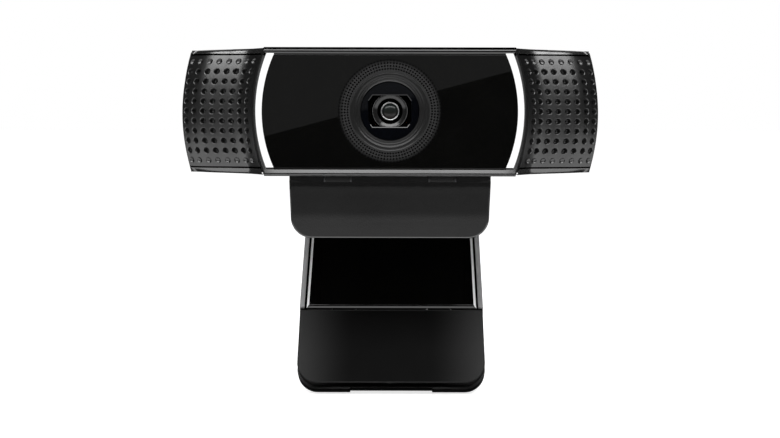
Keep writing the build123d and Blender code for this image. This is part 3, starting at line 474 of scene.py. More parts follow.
LOOKS = {
    "satin_black": lambda m, f: m.moulded(f.housing, 0.31, strength=0.15),
    "rim_satin": lambda m, f: m.moulded(f.housing, 0.24, level=0.8, ior=1.55),
    # painted highlight: light grey on the rim's upward faces
    "rim_light": lambda m, f: m.moulded(0.12, 0.3, level=0.8),
    "grille_black": lambda m, f: m.moulded(f.grille, 0.3, grain=3600.0, level=0.62),
    "window_gloss": lambda m, f: m.polished(f.window, 0.008),
    "panel_gloss": lambda m, f: m.polished(scaled(f.window, 0.8)),
    "bezel_gloss": lambda m, f: m.polished((0.0008, 0.001, 0.0016), 0.02, 0.32),
    "trim_grey": lambda m, f: m.moulded(f.trim, 0.24, grain=2200.0, variation=0.12, level=0.16),
    # lip_black paints light: its sides setting makes it paler towards the lip's top and bottom
    "lip_black": lambda m, f: m.moulded(
        scaled(f.clip, 0.8), 0.42, grain=3000.0, strength=0.9, depth=0.00004, variation=0.3, level=0.13,
        sides=(0.0118, 1.5, 5.6, "Z")),
    "lip_edge": lambda m, f: m.moulded(f.clip, 0.3, grain=3000.0, level=1.0),
    # pale grey without gloss, matching the painted light at the lip's top
    "lip_seam": lambda m, f: m.moulded(0.0135, 0.6, grain=3000.0, level=0.0),
    # painted light: pale grey on the leg's rails for the light falling on them
    "rail_grey": lambda m, f: m.moulded(
        f.rail, 0.45, grain=1500.0, stretch=(3.0, 0.3, 0.3), strength=1.0, variation=0.34),
    "soft_rubber": lambda m, f: m.moulded(f.pad, 0.55, grain=4200.0, level=0.2),
    # foot_rubber paints shade and light: dark in the middle of the pad, paler towards its sides
    "foot_rubber": lambda m, f: m.moulded(
        scaled(f.pad, 0.12), 0.5, grain=4200.0, level=0.03, depth=0.00003, sides=(0.038, 9.0, 35.0)),
    # painted highlight: a lighter grey on the foot pad's rounded edges
    "rubbed_edge": lambda m, f: m.moulded(0.012, 0.4, grain=4200.0, level=0.3),
    "toe_black": lambda m, f: m.moulded(scaled(f.clip, 0.5), 0.3, grain=3400.0, level=0.1),
    # painted highlight: near-white on the leg panel's bevels
    "bright_bevel": lambda m, f: m.moulded((0.8, 0.8, 0.805), 0.22, grain=1500.0, variation=0.06),
    "lit_guide": lambda m, f: m.lit_white(f.guide),
    "dot_black": lambda m, f: m.moulded(0.0004, 0.12, level=0.06),
    "halo_print": lambda m, f: m.printed_halo((0.017,) * 3, (0.001,) * 3, 10.5, 11.6),
    "baffle_black": lambda m, f: m.moulded(0.007, 0.2, grain=3000.0, level=0.38),
    # painted highlight: grey lines on the barrel's ring and the frame's lower ledge
    "baffle_edge": lambda m, f: m.moulded(0.07, 0.4, grain=3000.0, level=0.2),
    # painted shade: black without gloss in holes, grooves and edges that should read dark
    "hole_black": lambda m, f: m.moulded(0.0003, 0.6, grain=3000.0, level=0.0),
    "lens_rim": lambda m, f: m.metal(0.4, 0.34),
    "coated_glass": lambda m, f: m.coated_glass(),
    "steel": lambda m, f: m.metal((0.56, 0.57, 0.58), 0.3, (6.0, 1.0, 1.0)),
    "dark_screw": lambda m, f: m.metal((0.05, 0.05, 0.052), 0.38),
    "brass": lambda m, f: m.metal((0.72, 0.53, 0.26), 0.28),
    "copper": lambda m, f: m.metal((0.72, 0.36, 0.2), 0.32, (1.0, 12.0, 1.0)),
    "board_green": lambda m, f: m.moulded((0.02, 0.12, 0.05), 0.32, grain=700.0, variation=0.3),
    "chip_black": lambda m, f: m.moulded((0.02, 0.02, 0.024), 0.3, grain=1500.0),
    "led_white": lambda m, f: m.moulded((0.82, 0.82, 0.76), 0.4, grain=1500.0, variation=0.05),
    "thermal_grey": lambda m, f: m.moulded((0.2, 0.2, 0.22), 0.6, grain=900.0),
}


def finish(label):
    """A finish by its label, made once and kept apart from the frame's own materials."""
    name = "finish_" + label
    if name not in bpy.data.materials:
        LOOKS[label](MaterialBuilder(name), bpy.context.scene.webcam_finishes)
    return bpy.data.materials[name]


# ---------------------------------------------------------------- geometry node trees

class MeshBuilder(NodeBuilder):
    """A tree that makes a mesh from named inputs."""

    WELD = 0.004

    def __init__(self, name, inputs):
        super().__init__(bpy.data.node_groups.new(name, "GeometryNodeTree"))
        face = self.tree.interface
        self.keys = {
            label: face.new_socket(label, in_out="INPUT", socket_type="NodeSocket" + kind).identifier
            for label, kind in inputs.items()}
        face.new_socket("Geometry", in_out="OUTPUT", socket_type="NodeSocketGeometry")
        self.given = self.add("NodeGroupInput").outputs

    def curve(self, value, points):
        """A curve through points, read at a value."""
        node = self.add("ShaderNodeFloatCurve", {"Value": value})
        line = node.mapping.curves[0]
        while len(line.points) < len(points):
            line.points.new(0.5, 0.5)
        for point, place in zip(line.points, points):
            point.location = place
            point.handle_type = "VECTOR"
        node.mapping.update()
        return node.outputs[0]

    def grid(self, width, height, columns, rows):
        """A flat grid of points."""
        return self.add("GeometryNodeMeshGrid", {
            "Size X": width, "Size Y": height, "Vertices X": columns, "Vertices Y": rows}).outputs["Mesh"]

    def position(self):
        """The numbers of the place that a field is read at."""
        return self.parts(self.add("GeometryNodeInputPosition").outputs[0])

    def placed(self, mesh, *numbers):
        """A mesh with its points moved to new places."""
        moved = self.add("GeometryNodeSetPosition", {"Geometry": mesh, "Position": self.vector(*numbers)})
        return moved.outputs[0]

    def welded(self, mesh):
        """A mesh with its near points joined."""
        return self.add("GeometryNodeMergeByDistance", {"Geometry": mesh, "Distance": self.WELD}).outputs[0]

    def spread(self, points, piece, *scale):
        """A piece on each point."""
        laid = self.add("GeometryNodeInstanceOnPoints", {
            "Points": points, "Instance": piece, "Scale": self.vector(*scale)})
        return self.add("GeometryNodeRealizeInstances", {"Geometry": laid.outputs[0]}).outputs[0]

    def done(self, mesh):
        """Give the mesh its finish and hand it out."""
        dressed = self.add("GeometryNodeSetMaterial", {"Geometry": mesh, "Material": self.given["Finish"]})
        self.add("NodeGroupOutput", {0: dressed.outputs[0]})
        return self

    def run(self, values, name):
        """Evaluate the tree on an empty mesh and return the plain mesh."""
        host = new_object(name, bpy.data.meshes.new(name))
        modifier = host.modifiers.new("Build", "NODES")
        modifier.node_group = self.tree
        for label, value in values.items():
            modifier[self.keys[label]] = value
        graph = bpy.context.evaluated_depsgraph_get()
        mesh = bpy.data.meshes.new_from_object(host.evaluated_get(graph))
        host.modifiers.remove(modifier)
        bpy.data.objects.remove(host)
        return mesh


def perforated_sheet_tree():
    """Flat sheet of rim-rounded perforations; the first and last rows are shallow dimples."""
    n = MeshBuilder("Perforated sheet", {
        "Columns": "Int", "Rows": "Int", "Column Pitch": "Float", "Row Pitch": "Float", "Hole Radius": "Float",
        "Rim Radius": "Float", "Depth": "Float", "Dimple Share": "Float", "Segments": "Int", "Finish": "Material"})
    given, rings = n.given, 6

    # One cell: rings from its square border through the rim and down the hole to the middle of its floor.
    strip = n.grid(1.0, 1.0, n.plus(given["Segments"], 1.0), rings)
    place = n.position()
    angle = n.times(n.plus(place[0], 0.5), 2 * math.pi)
    step = n.plus(place[1], 0.5)
    cosine, sine = n.math("COSINE", angle), n.math("SINE", angle)
    widest = n.math("MAXIMUM", n.absolute(cosine), n.absolute(sine))
    at_rim = n.curve(step, [(0, 1), (0.2, 1), (0.4, 0.35), (0.6, 0), (0.8, 0), (1, 0)])
    at_hole = n.curve(step, [(0, 0), (0.2, 0), (0.4, 0.65), (0.6, 1), (0.8, 0.99), (1, 0)])
    radius = n.plus(n.times(at_rim, given["Rim Radius"]), n.times(at_hole, given["Hole Radius"]))
    sunk = n.curve(step, [(0, 0), (0.2, 0), (0.4, 0.03), (0.6, 0.12), (0.8, 1), (1, 1)])
    outermost = n.math("LESS_THAN", step, 0.1)
    inner = n.minus(1.0, outermost)

    def across(direction, pitch):
        border = n.times(n.over(direction, widest), n.times(pitch, 0.5))
        return n.plus(n.times(border, outermost), n.times(n.times(direction, radius), inner))

    height = n.times(n.times(sunk, given["Depth"]), -1.0)
    x, y = across(cosine, given["Column Pitch"]), across(sine, given["Row Pitch"])
    cell = n.welded(n.placed(strip, x, y, height))

    # The sheet: a cell on each place of the pattern.
    tall = n.times(n.minus(given["Rows"], 1.0), given["Row Pitch"])
    wide = n.times(n.minus(given["Columns"], 1.0), given["Column Pitch"])
    places = n.grid(wide, tall, given["Columns"], given["Rows"])
    edge_row = n.math("GREATER_THAN", n.absolute(n.position()[1]), n.times(tall, 0.49))
    share = n.plus(n.times(edge_row, n.minus(given["Dimple Share"], 1.0)), 1.0)
    return n.done(n.welded(n.spread(places, cell, 1.0, 1.0, share)))


def dotted_rings_tree():
    """Rings of small flat dots about the lens axis."""
    n = MeshBuilder("Dotted rings", {
        "Dots": "Int", "Rings": "Int", "First Radius": "Float", "Ring Pitch": "Float", "Dot Radius": "Float",
        "Outer Share": "Float", "Finish": "Material"})
    given = n.given
    places = n.grid(1.0, 1.0, given["Dots"], given["Rings"])
    index = n.add("GeometryNodeInputIndex").outputs[0]
    ring = n.math("MODULO", index, given["Rings"])
    turn = n.math("FLOOR", n.over(index, given["Rings"]))
    angle = n.times(n.over(turn, given["Dots"]), 2 * math.pi)
    radius = n.plus(given["First Radius"], n.times(ring, given["Ring Pitch"]))
    placed = n.placed(places, n.times(n.math("COSINE", angle), radius), n.times(n.math("SINE", angle), radius))
    dot = n.add("GeometryNodeMeshCircle", {"Vertices": 10, "Radius": 1.0}, fill_type="TRIANGLE_FAN")
    share = n.plus(1.0, n.times(n.over(ring, given["Rings"]), n.minus(given["Outer Share"], 1.0)))
    size = n.times(given["Dot Radius"], share)
    return n.done(n.spread(placed, dot.outputs["Mesh"], size, size, size))


# ---------------------------------------------------------------- stage

class WEBCAM_OT_stage(bpy.types.Operator):
    """Floor, studio walls, cards for the gloss to mirror, soft light and camera"""
    bl_idname = "webcam.stage"
    bl_label = "Stage"

    LENS, SENSOR, SHIFT_X = 82.1, 36.0, -0.0252
    TILT, ROLL = 86.555, 0.12       # degrees
    FLOOR_SIZE = 6.0
    GROUND_RADII = (0.001, 1.9)                                     # of the walls' dark floor, in metres
    WALLS = ((1.9, 0.9), (1.6, 1.5), (0.9, 1.8), (0.02, 1.85))      # radius and height, in metres
    GREY_BACK = -0.6                                # grey card's place along Y, in metres
    GREY_EDGE = ((-27.7, 15.8), (26.9, 30.3))       # spots on the window that its lower edge is mirrored at
    KEY_PLACE, KEY_SIZE, KEY_RADIANCE = (0.0, -0.84, 0.56), (1.4, 0.34), 10.0

    def execute(self, context):
        scene = context.scene
        scene.view_settings.view_transform = "Standard"
        self.world(scene)
        self.floor()
        self.walls()
        self.cards()
        self.softbox("key_light", self.KEY_PLACE, self.KEY_SIZE, self.KEY_RADIANCE)
        camera = new_object("camera", bpy.data.cameras.new("camera"))
        camera.location = CAMERA
        aim = Euler((math.radians(self.TILT), 0.0, 0.0)).to_quaternion()
        camera.rotation_euler = (aim @ Quaternion((0.0, 0.0, 1.0), math.radians(self.ROLL))).to_euler()
        camera.data.shift_x = self.SHIFT_X
        camera.data.lens = self.LENS
        camera.data.sensor_width = self.SENSOR
        camera.data.clip_start = 0.01
        scene.camera = camera
        return {"FINISHED"}

    def seen_white(self, n, plain, white):
        """A strength: white wherever the camera, a mirror or glass looks, and plain light elsewhere."""
        path = n.add("ShaderNodeLightPath").outputs
        total = path["Is Camera Ray"]
        for label in ("Is Glossy Ray", "Is Transmission Ray"):
            total = n.math("ADD", total, path[label], use_clamp=True)
        return n.add("ShaderNodeMapRange", {"Value": total, "To Min": plain, "To Max": white}).outputs["Result"]

    def world(self, scene):
        world = bpy.data.worlds.new("studio")
        scene.world = world
        world.use_nodes = True
        n = NodeBuilder(world.node_tree)
        n.feed(n.tree.nodes["Background"], {"Color": (1.0,) * 3, "Strength": self.seen_white(n, 0.45, 1.0)})

    def floor(self):
        low, size = min(CAD_BOX[0][2], 0.0) - 0.0004, self.FLOOR_SIZE
        corners = [(-size, -size, low), (size, -size, low), (size, size, low), (-size, size, low)]
        floor = new_object("floor", plain_mesh("floor", corners, [(0, 1, 2, 3)]))
        m = MaterialBuilder("pale_floor")
        m.feed(m.shader, {
            "Base Color": m.speckled(m.noise(3.0, 3.0), (0.9,) * 3, (0.92,) * 3), "Roughness": 0.9,
            "Specular IOR Level": 0.1, "Emission Color": (1.0,) * 3,
            "Emission Strength": self.seen_white(m, 0.0, 0.62)})
        floor.data.materials.append(m.material)

    def glow(self, name, points, strength, faces=((0, 1, 2, 3),)):
        """A card that only mirrors see."""
        card = new_object(name, plain_mesh(name, points, faces))
        m = MaterialBuilder(name)
        m.tree.nodes.remove(m.shader)
        light = m.add("ShaderNodeEmission", {"Strength": strength})
        m.feed(m.tree.nodes["Material Output"], {"Surface": light.outputs[0]})
        card.data.materials.append(m.material)
        for kind in ("camera", "diffuse", "transmission", "shadow", "volume_scatter"):
            setattr(card, "visible_" + kind, False)

    def walls(self):
        """Dark studio walls and ceiling, so that gloss has something dark to mirror."""
        foot = CAD_BOX[0][2] - 0.0002
        turns = np.linspace(0, 2 * math.pi, 48, endpoint=False)
        profile = [(radius, foot) for radius in self.GROUND_RADII] + list(self.WALLS)
        rings = [[(radius * math.cos(a), radius * math.sin(a), height) for a in turns]
                 for radius, height in profile]
        points, faces = loft(rings)
        self.glow("dark_walls", points, 0.02, faces)

    def cards(self):
        """A slanted grey card behind the camera, a bounce card on the floor in front and a card overhead."""
        (x0, z0), (x1, z1) = self.on_mirror(self.GREY_BACK, self.GREY_EDGE)
        low = [(x, self.GREY_BACK, z0 + (z1 - z0) / (x1 - x0) * (x - x0)) for x in (-0.11, 0.11)]
        high = [(0.11, self.GREY_BACK, low[1][2] + 0.03), (-0.11, self.GREY_BACK, low[0][2] + 0.09)]
        self.glow("grey_card", low + high, 0.21)
        for name, half, near, far, height, strength in (
                ("bounce_card", 0.3, -0.26, -0.03, CAD_BOX[0][2] + 0.001, 2.3),
                ("top_card", 0.5, -0.62, -0.27, 0.75, 9.0)):
            corners = ((-half, near), (half, near), (half, far), (-half, far))
            self.glow(name, [(x, y, height) for x, y in corners], strength)

    def on_mirror(self, plane, spots):
        """Where the camera sees a plane mirrored at spots on the window, in metres."""
        window = (FRONT_Y + 0.3) * MM
        reach = (abs(plane) + window) / (abs(CAMERA[1]) + window)
        return [(x * MM + (x * MM - CAMERA[0]) * reach, z * MM + (z * MM - CAMERA[2]) * reach) for x, z in spots]

    def softbox(self, name, place, size, radiance):
        """A soft rectangular lamp that looks at the origin."""
        lamp = new_object(name, bpy.data.lights.new(name, "AREA"))
        lamp.data.shape = "RECTANGLE"
        lamp.data.size, lamp.data.size_y = size
        lamp.data.energy = radiance * math.pi * size[0] * size[1]
        lamp.location = place
        lamp.rotation_euler = (Vector() - Vector(place)).to_track_quat("-Z", "Y").to_euler()


# ---------------------------------------------------------------- head

class WEBCAM_OT_front_frame(bpy.types.Operator):
    """Centre frame round the window, with a groove behind its front ridge"""
    bl_idname = "webcam.front_frame"
    bl_label = "Centre frame"

    RIDGE = 0.785           # ridge's width, above and below
    GROOVE_RISE = -0.22     # groove's loop below the frame's
    SHELF = (1.5, 2.6)      # reach and depth of the shelf behind the window
    # way from the window's edge (0) to the groove (1) and on to the outside (2), and depth
    SECTION = (
        (0.0, 2.6), (0.0, 0.75), (0.04, 0.5), (0.12, 0.36), (0.72, 0.17), (0.84, 0.14), (0.92, 0.18), (0.96, 0.5),
        (1.15, 0.5), (1.18, 0.08), (1.2, 0.01), (1.24, 0.0), (1.5, 0.13), (1.56, 0.22), (1.98, 0.9), (2.0, 1.1),
        (2.0, 4.0))
    # distances in from the outside, above and below: painted shade in the groove and on the top strips, a painted
    # highlight on the lower ledge
    GROOVE, GROOVE_DEPTH = (0.45, 1.08), 0.25
    DARK_TOP, DARK_SILL = 0.5, (1.44, 1.7)
    LIGHT_LEDGE = (0.1, 0.52)

    def execute(self, context):
        sizes = context.scene.webcam_head
        outer = bowed_outline(HALF_WIDTH, HALF_HEIGHT, sizes.frame_bow)
        groove = bowed_outline(HALF_WIDTH - self.RIDGE * 0.45, HALF_HEIGHT - self.RIDGE, sizes.frame_bow,
                               self.GROOVE_RISE)
        half_width, half_height = HALF_WIDTH - sizes.side, HALF_HEIGHT - sizes.rail
        inner, shelf = (bowed_outline(half_width - inset, half_height - inset, sizes.guide_bow, WINDOW_RISE)
                        for inset in (0.0, self.SHELF[0]))
        rings = [[head_point(x, self.SHELF[1], z) for x, z in shelf]]
        for share, depth in self.SECTION:
            start, end, part = (inner, groove, share) if share < 1 else (groove, outer, share - 1)
            ring = [between(a, b, part) for a, b in zip(start, end)]
            rings.append([head_point(x, depth, z) for x, z in ring])
        piece = add_piece("front_frame_shell", loft(rings), "head", ("satin_black", "hole_black", "baffle_edge"),
                          "housing_black", ("front_frame",), outward=True)
        repaint(piece.data, self.look)
        return {"FINISHED"}

    def look(self, face):
        """Painted shade in the groove and on two strips of the top, a painted highlight on the lower ledge."""
        _, depth, height = place_of(face.center)
        inset = HALF_HEIGHT - abs(height)
        in_groove = self.GROOVE[0] < inset < self.GROOVE[1] and depth > self.GROOVE_DEPTH
        on_top = height > 0 and (inset < self.DARK_TOP or self.DARK_SILL[0] < inset < self.DARK_SILL[1])
        on_ledge = height < 0 and self.LIGHT_LEDGE[0] < inset < self.LIGHT_LEDGE[1]
        return 1 if in_groove or on_top else 2 if on_ledge else 0


class WEBCAM_OT_window(bpy.types.Operator):
    """Glossy window with its lit strips and dotted halo"""
    bl_idname = "webcam.window"
    bl_label = "Window and guides"

    FACE, BACK = 0.3, 1.8       # depths of the window's face and back
    GAP = 0.06                  # round the window
    GUIDE_TOP, GUIDE_LOW = 13.08, -12.57
    GUIDE_FACE, GUIDE_EDGE, GUIDE_STEPS = 0.15, 0.12, 40
    HALO, HALO_DEPTH = (9.0, 9.3, 11.3, 11.6), 0.285
    DOTS = {
        "Dots": 97, "Rings": 4, "First Radius": 9.5, "Ring Pitch": 0.65, "Dot Radius": 0.22, "Outer Share": 0.9}
    DOT_DEPTH = 0.27

    def execute(self, context):
        sizes = context.scene.webcam_head
        self.pane(sizes)
        for side, label in ((-1, "left"), (1, "right")):
            self.guide(sizes, side, label)
        self.halo()
        return {"FINISHED"}

    def pane(self, sizes):
        half_width = HALF_WIDTH - sizes.side - sizes.guide_width - self.GAP
        half_height = HALF_HEIGHT - sizes.rail - self.GAP

        def outline(inset, depth):
            loop = bowed_outline(half_width - inset, half_height - inset, sizes.window_bow, WINDOW_RISE)
            return [head_point(x, depth, z) for x, z in loop]

        face, back, edge = self.FACE, self.BACK, sizes.trim_radius + 0.05
        angles = [math.atan2(z, x) for x, z in bowed_outline(half_width, half_height, sizes.window_bow)]
        rings = [outline(inset, depth) for inset, depth in (
            (0.0, back), (0.0, 0.46), (0.05, 0.35), (0.14, face), (0.2, face))]
        rings += [lens_ring(angles, radius, depth) for radius, depth in (
            (edge + 0.12, face), (edge + 0.06, face), (edge, 0.36), (edge, back))]
        pane = add_piece("window_pane", loft(rings + [outline(0.0, back)]), "head", ("window_gloss", "hole_black"),
                         "window_black", ("window",), outward=True, sharp=30)
        # painted shade on the window's bevelled edge
        repaint(pane.data, lambda polygon: polygon.center.y > (FRONT_Y + face + 0.01) * MM)

    def guide(self, sizes, side, label):
        outer = HALF_WIDTH - sizes.side - 0.05
        inner = outer - sizes.guide_width + 0.05
        front, edge, back = self.GUIDE_FACE, self.GUIDE_EDGE, self.BACK
        rings = []
        for i in range(self.GUIDE_STEPS + 1):
            z = self.GUIDE_LOW + (self.GUIDE_TOP - self.GUIDE_LOW) * i / self.GUIDE_STEPS
            out_x, in_x = outer - sagitta(sizes.guide_bow, z), inner - sagitta(sizes.window_bow, z)
            section = [(out_x, back), (out_x, front + edge), (out_x - edge, front), (in_x + edge, front),
                       (in_x, front + edge), (in_x, back)]
            rings.append([head_point(side * x, depth, z + WINDOW_RISE) for x, depth in section])
        add_piece("light_strip_" + label, loft(rings, cap_first=True, cap_last=True), "head", "lit_guide",
                  "guide_white", ("light_guide_" + label,), outward=True, sharp=30)

    def halo(self):
        """The printed band round the lens, and the dots on it."""
        band = loft(lathe([(radius, self.HALO_DEPTH) for radius in self.HALO], 120))
        add_piece("window_halo", band, "head", "halo_print", "window_black")
        mesh = dotted_rings_tree().run({**self.DOTS, "Finish": finish("dot_black")}, "halo_dots")
        mesh = moved_mesh(mesh, lambda p: np.stack(
            [p[:, 0], np.full(len(p), FRONT_Y + self.DOT_DEPTH), LENS_Z + LENS_RISE + p[:, 1]], axis=1))
        dress_mesh(mesh, "halo_dots", "head", (), "window_black")


class WEBCAM_OT_lens(bpy.types.Operator):
    """Grooved trim ring, aperture bezel, barrel baffle and front lens"""
    bl_idname = "webcam.lens"
    bl_label = "Lens"

    TRIM_GROOVES = (8.62, 7.62, 7.12)       # radii
    # half width and height of the opening, and where its chamfers start along the top and down the side,
    # with how much each of them follows an inset
    OPENING = ((5.0, 1.0), (3.72, 1.0), (3.95, 0.5), (2.3, 0.6))
    OPENING_STEPS = (8, 24, 8, 16, 8, 24, 8, 16)
    BEZEL_FACE, BEZEL_BACK = 0.86, 1.9
    # radii and depths of the barrel's front, from its outer wall to the lens
    BARREL = ((4.4, 10.4), (4.4, 3.05), (4.32, 2.95), (3.96, 2.95), (3.92, 2.92), (3.86, 2.92), (3.8, 3.02),
              (2.98, 3.34), (2.86, 3.42), (2.8, 3.6), (2.78, 4.7))
    BARREL_DARK, BARREL_STEP = (2.84, 3.94), 3.83       # radii at which the looks change
    COIL_MASK = ((4.5, 3.9), (4.5, 3.2), (6.5, 3.2), (6.5, 3.9))
    LENS_RIM = ((-0.02, 4.9), (0.0, 4.28), (0.06, 4.16), (0.2, 4.14), (0.33, 4.26), (0.38, 4.5), (0.38, 4.9))
    GLASS_EDGE, GLASS_BULGE = 4.95, 0.62

    def execute(self, context):
        sizes = context.scene.webcam_head
        self.trim(sizes)
        self.bezel(sizes)
        self.barrel(sizes)
        self.glass(sizes)
        return {"FINISHED"}

    def trim(self, sizes):
        outer, inner = sizes.trim_radius, sizes.trim_inner
        profile = [(outer, 1.6), (outer, 0.36), (outer - 0.06, 0.32), (8.93, 0.34)]
        for radius in self.TRIM_GROOVES:
            depth = 0.34 + (outer - radius) * 0.05
            profile += [(radius + out, depth + down) for out, down in (
                (0.22, 0.0), (0.16, 0.07), (0.08, 0.09), (-0.1, 0.03), (-0.16, 0.02))]
        profile += [(inner + 0.14, 0.47), (inner + 0.1, 0.44), (inner + 0.04, 0.45), (inner, 0.52), (inner, 1.6),
                    (outer, 1.6)]
        add_piece("trim_ring", loft(lathe(profile, 128)), "head", "trim_grey", "trim_grey", ("lens_trim_ring",),
                  sharp=50, outward=True)

    def opening(self, inset, depth):
        """The chamfered opening's outline with points spread evenly."""
        half_w, half_h, top, side = (reach - inset * share for reach, share in self.OPENING)
        corners = [(half_w, side), (top, half_h), (-top, half_h), (-half_w, side),
                   (-half_w, -side), (-top, -half_h), (top, -half_h), (half_w, -side)]
        loop = []
        for i, count in enumerate(self.OPENING_STEPS):
            loop += [between(corners[i], corners[(i + 1) % len(corners)], k / count) for k in range(count)]
        return [head_point(x, depth, LENS_RISE + z) for x, z in loop]

    def bezel(self, sizes):
        face, back, outer = self.BEZEL_FACE, self.BEZEL_BACK, sizes.trim_inner - 0.06
        angles = [math.atan2(z - LENS_Z - LENS_RISE, x) for x, _, z in self.opening(0.0, 0.0)]
        rings = [lens_ring(angles, outer - inset, depth) for inset, depth in (
            (0.0, back), (0.0, 0.95), (0.12, face), (0.2, face))]
        rings += [self.opening(inset, depth) for inset, depth in (
            (-0.04, face), (0.0, face), (0.15, 0.915), (0.17, 0.96), (0.17, back))]
        add_piece("aperture_disc", loft(rings + [lens_ring(angles, outer, back)]), "head", "bezel_gloss",
                  "housing_black", ("aperture_bezel",), sharp=12, outward=True)

    def barrel(self, sizes):
        """The barrel's baffle with painted shade and a painted highlight line, a ring of painted shade behind the
        opening and the bright rim round the glass.
        """
        lens = sizes.lens_radius
        bore = lens + 0.02

        # painted shade on the bore and the outer wall, a painted highlight line just inside the outer wall
        def look(face):
            x, _, z = place_of(face.center)
            reach = math.hypot(x, z - LENS_RISE)
            return 1 if not self.BARREL_DARK[0] <= reach <= self.BARREL_DARK[1] else 2 * (reach > self.BARREL_STEP)

        baffle = loft(lathe([(bore, 10.4), *self.BARREL, (bore, 4.7), (bore, 10.4)], 112))
        barrel = add_piece("barrel_baffle", baffle, "lens", ("baffle_black", "hole_black", "baffle_edge"),
                           "housing_black", ("lens_barrel",), sharp=40, outward=True)
        repaint(barrel.data, look)
        # a ring of painted shade that hides the coil behind the opening
        add_piece("coil_mask", loft(lathe(self.COIL_MASK)), "head", "hole_black", "housing_black", sharp=40)
        rim = loft(lathe([(lens - inset, depth) for inset, depth in self.LENS_RIM]))
        add_piece("lens_rim", rim, "lens", "lens_rim", "steel", outward=True, sharp=60)

    def glass(self, sizes):
        radius = sizes.lens_radius - 0.36
        profile = [(radius * math.sin(a), self.GLASS_EDGE - self.GLASS_BULGE * math.cos(a))
                   for a in np.linspace(math.pi / 2, 0.02, 14)]
        add_piece("front_lens", loft(lathe(profile, 64), cap_last=True), "lens", "coated_glass", "lens_glass",
                  ("lens_elements",), sharp=80)


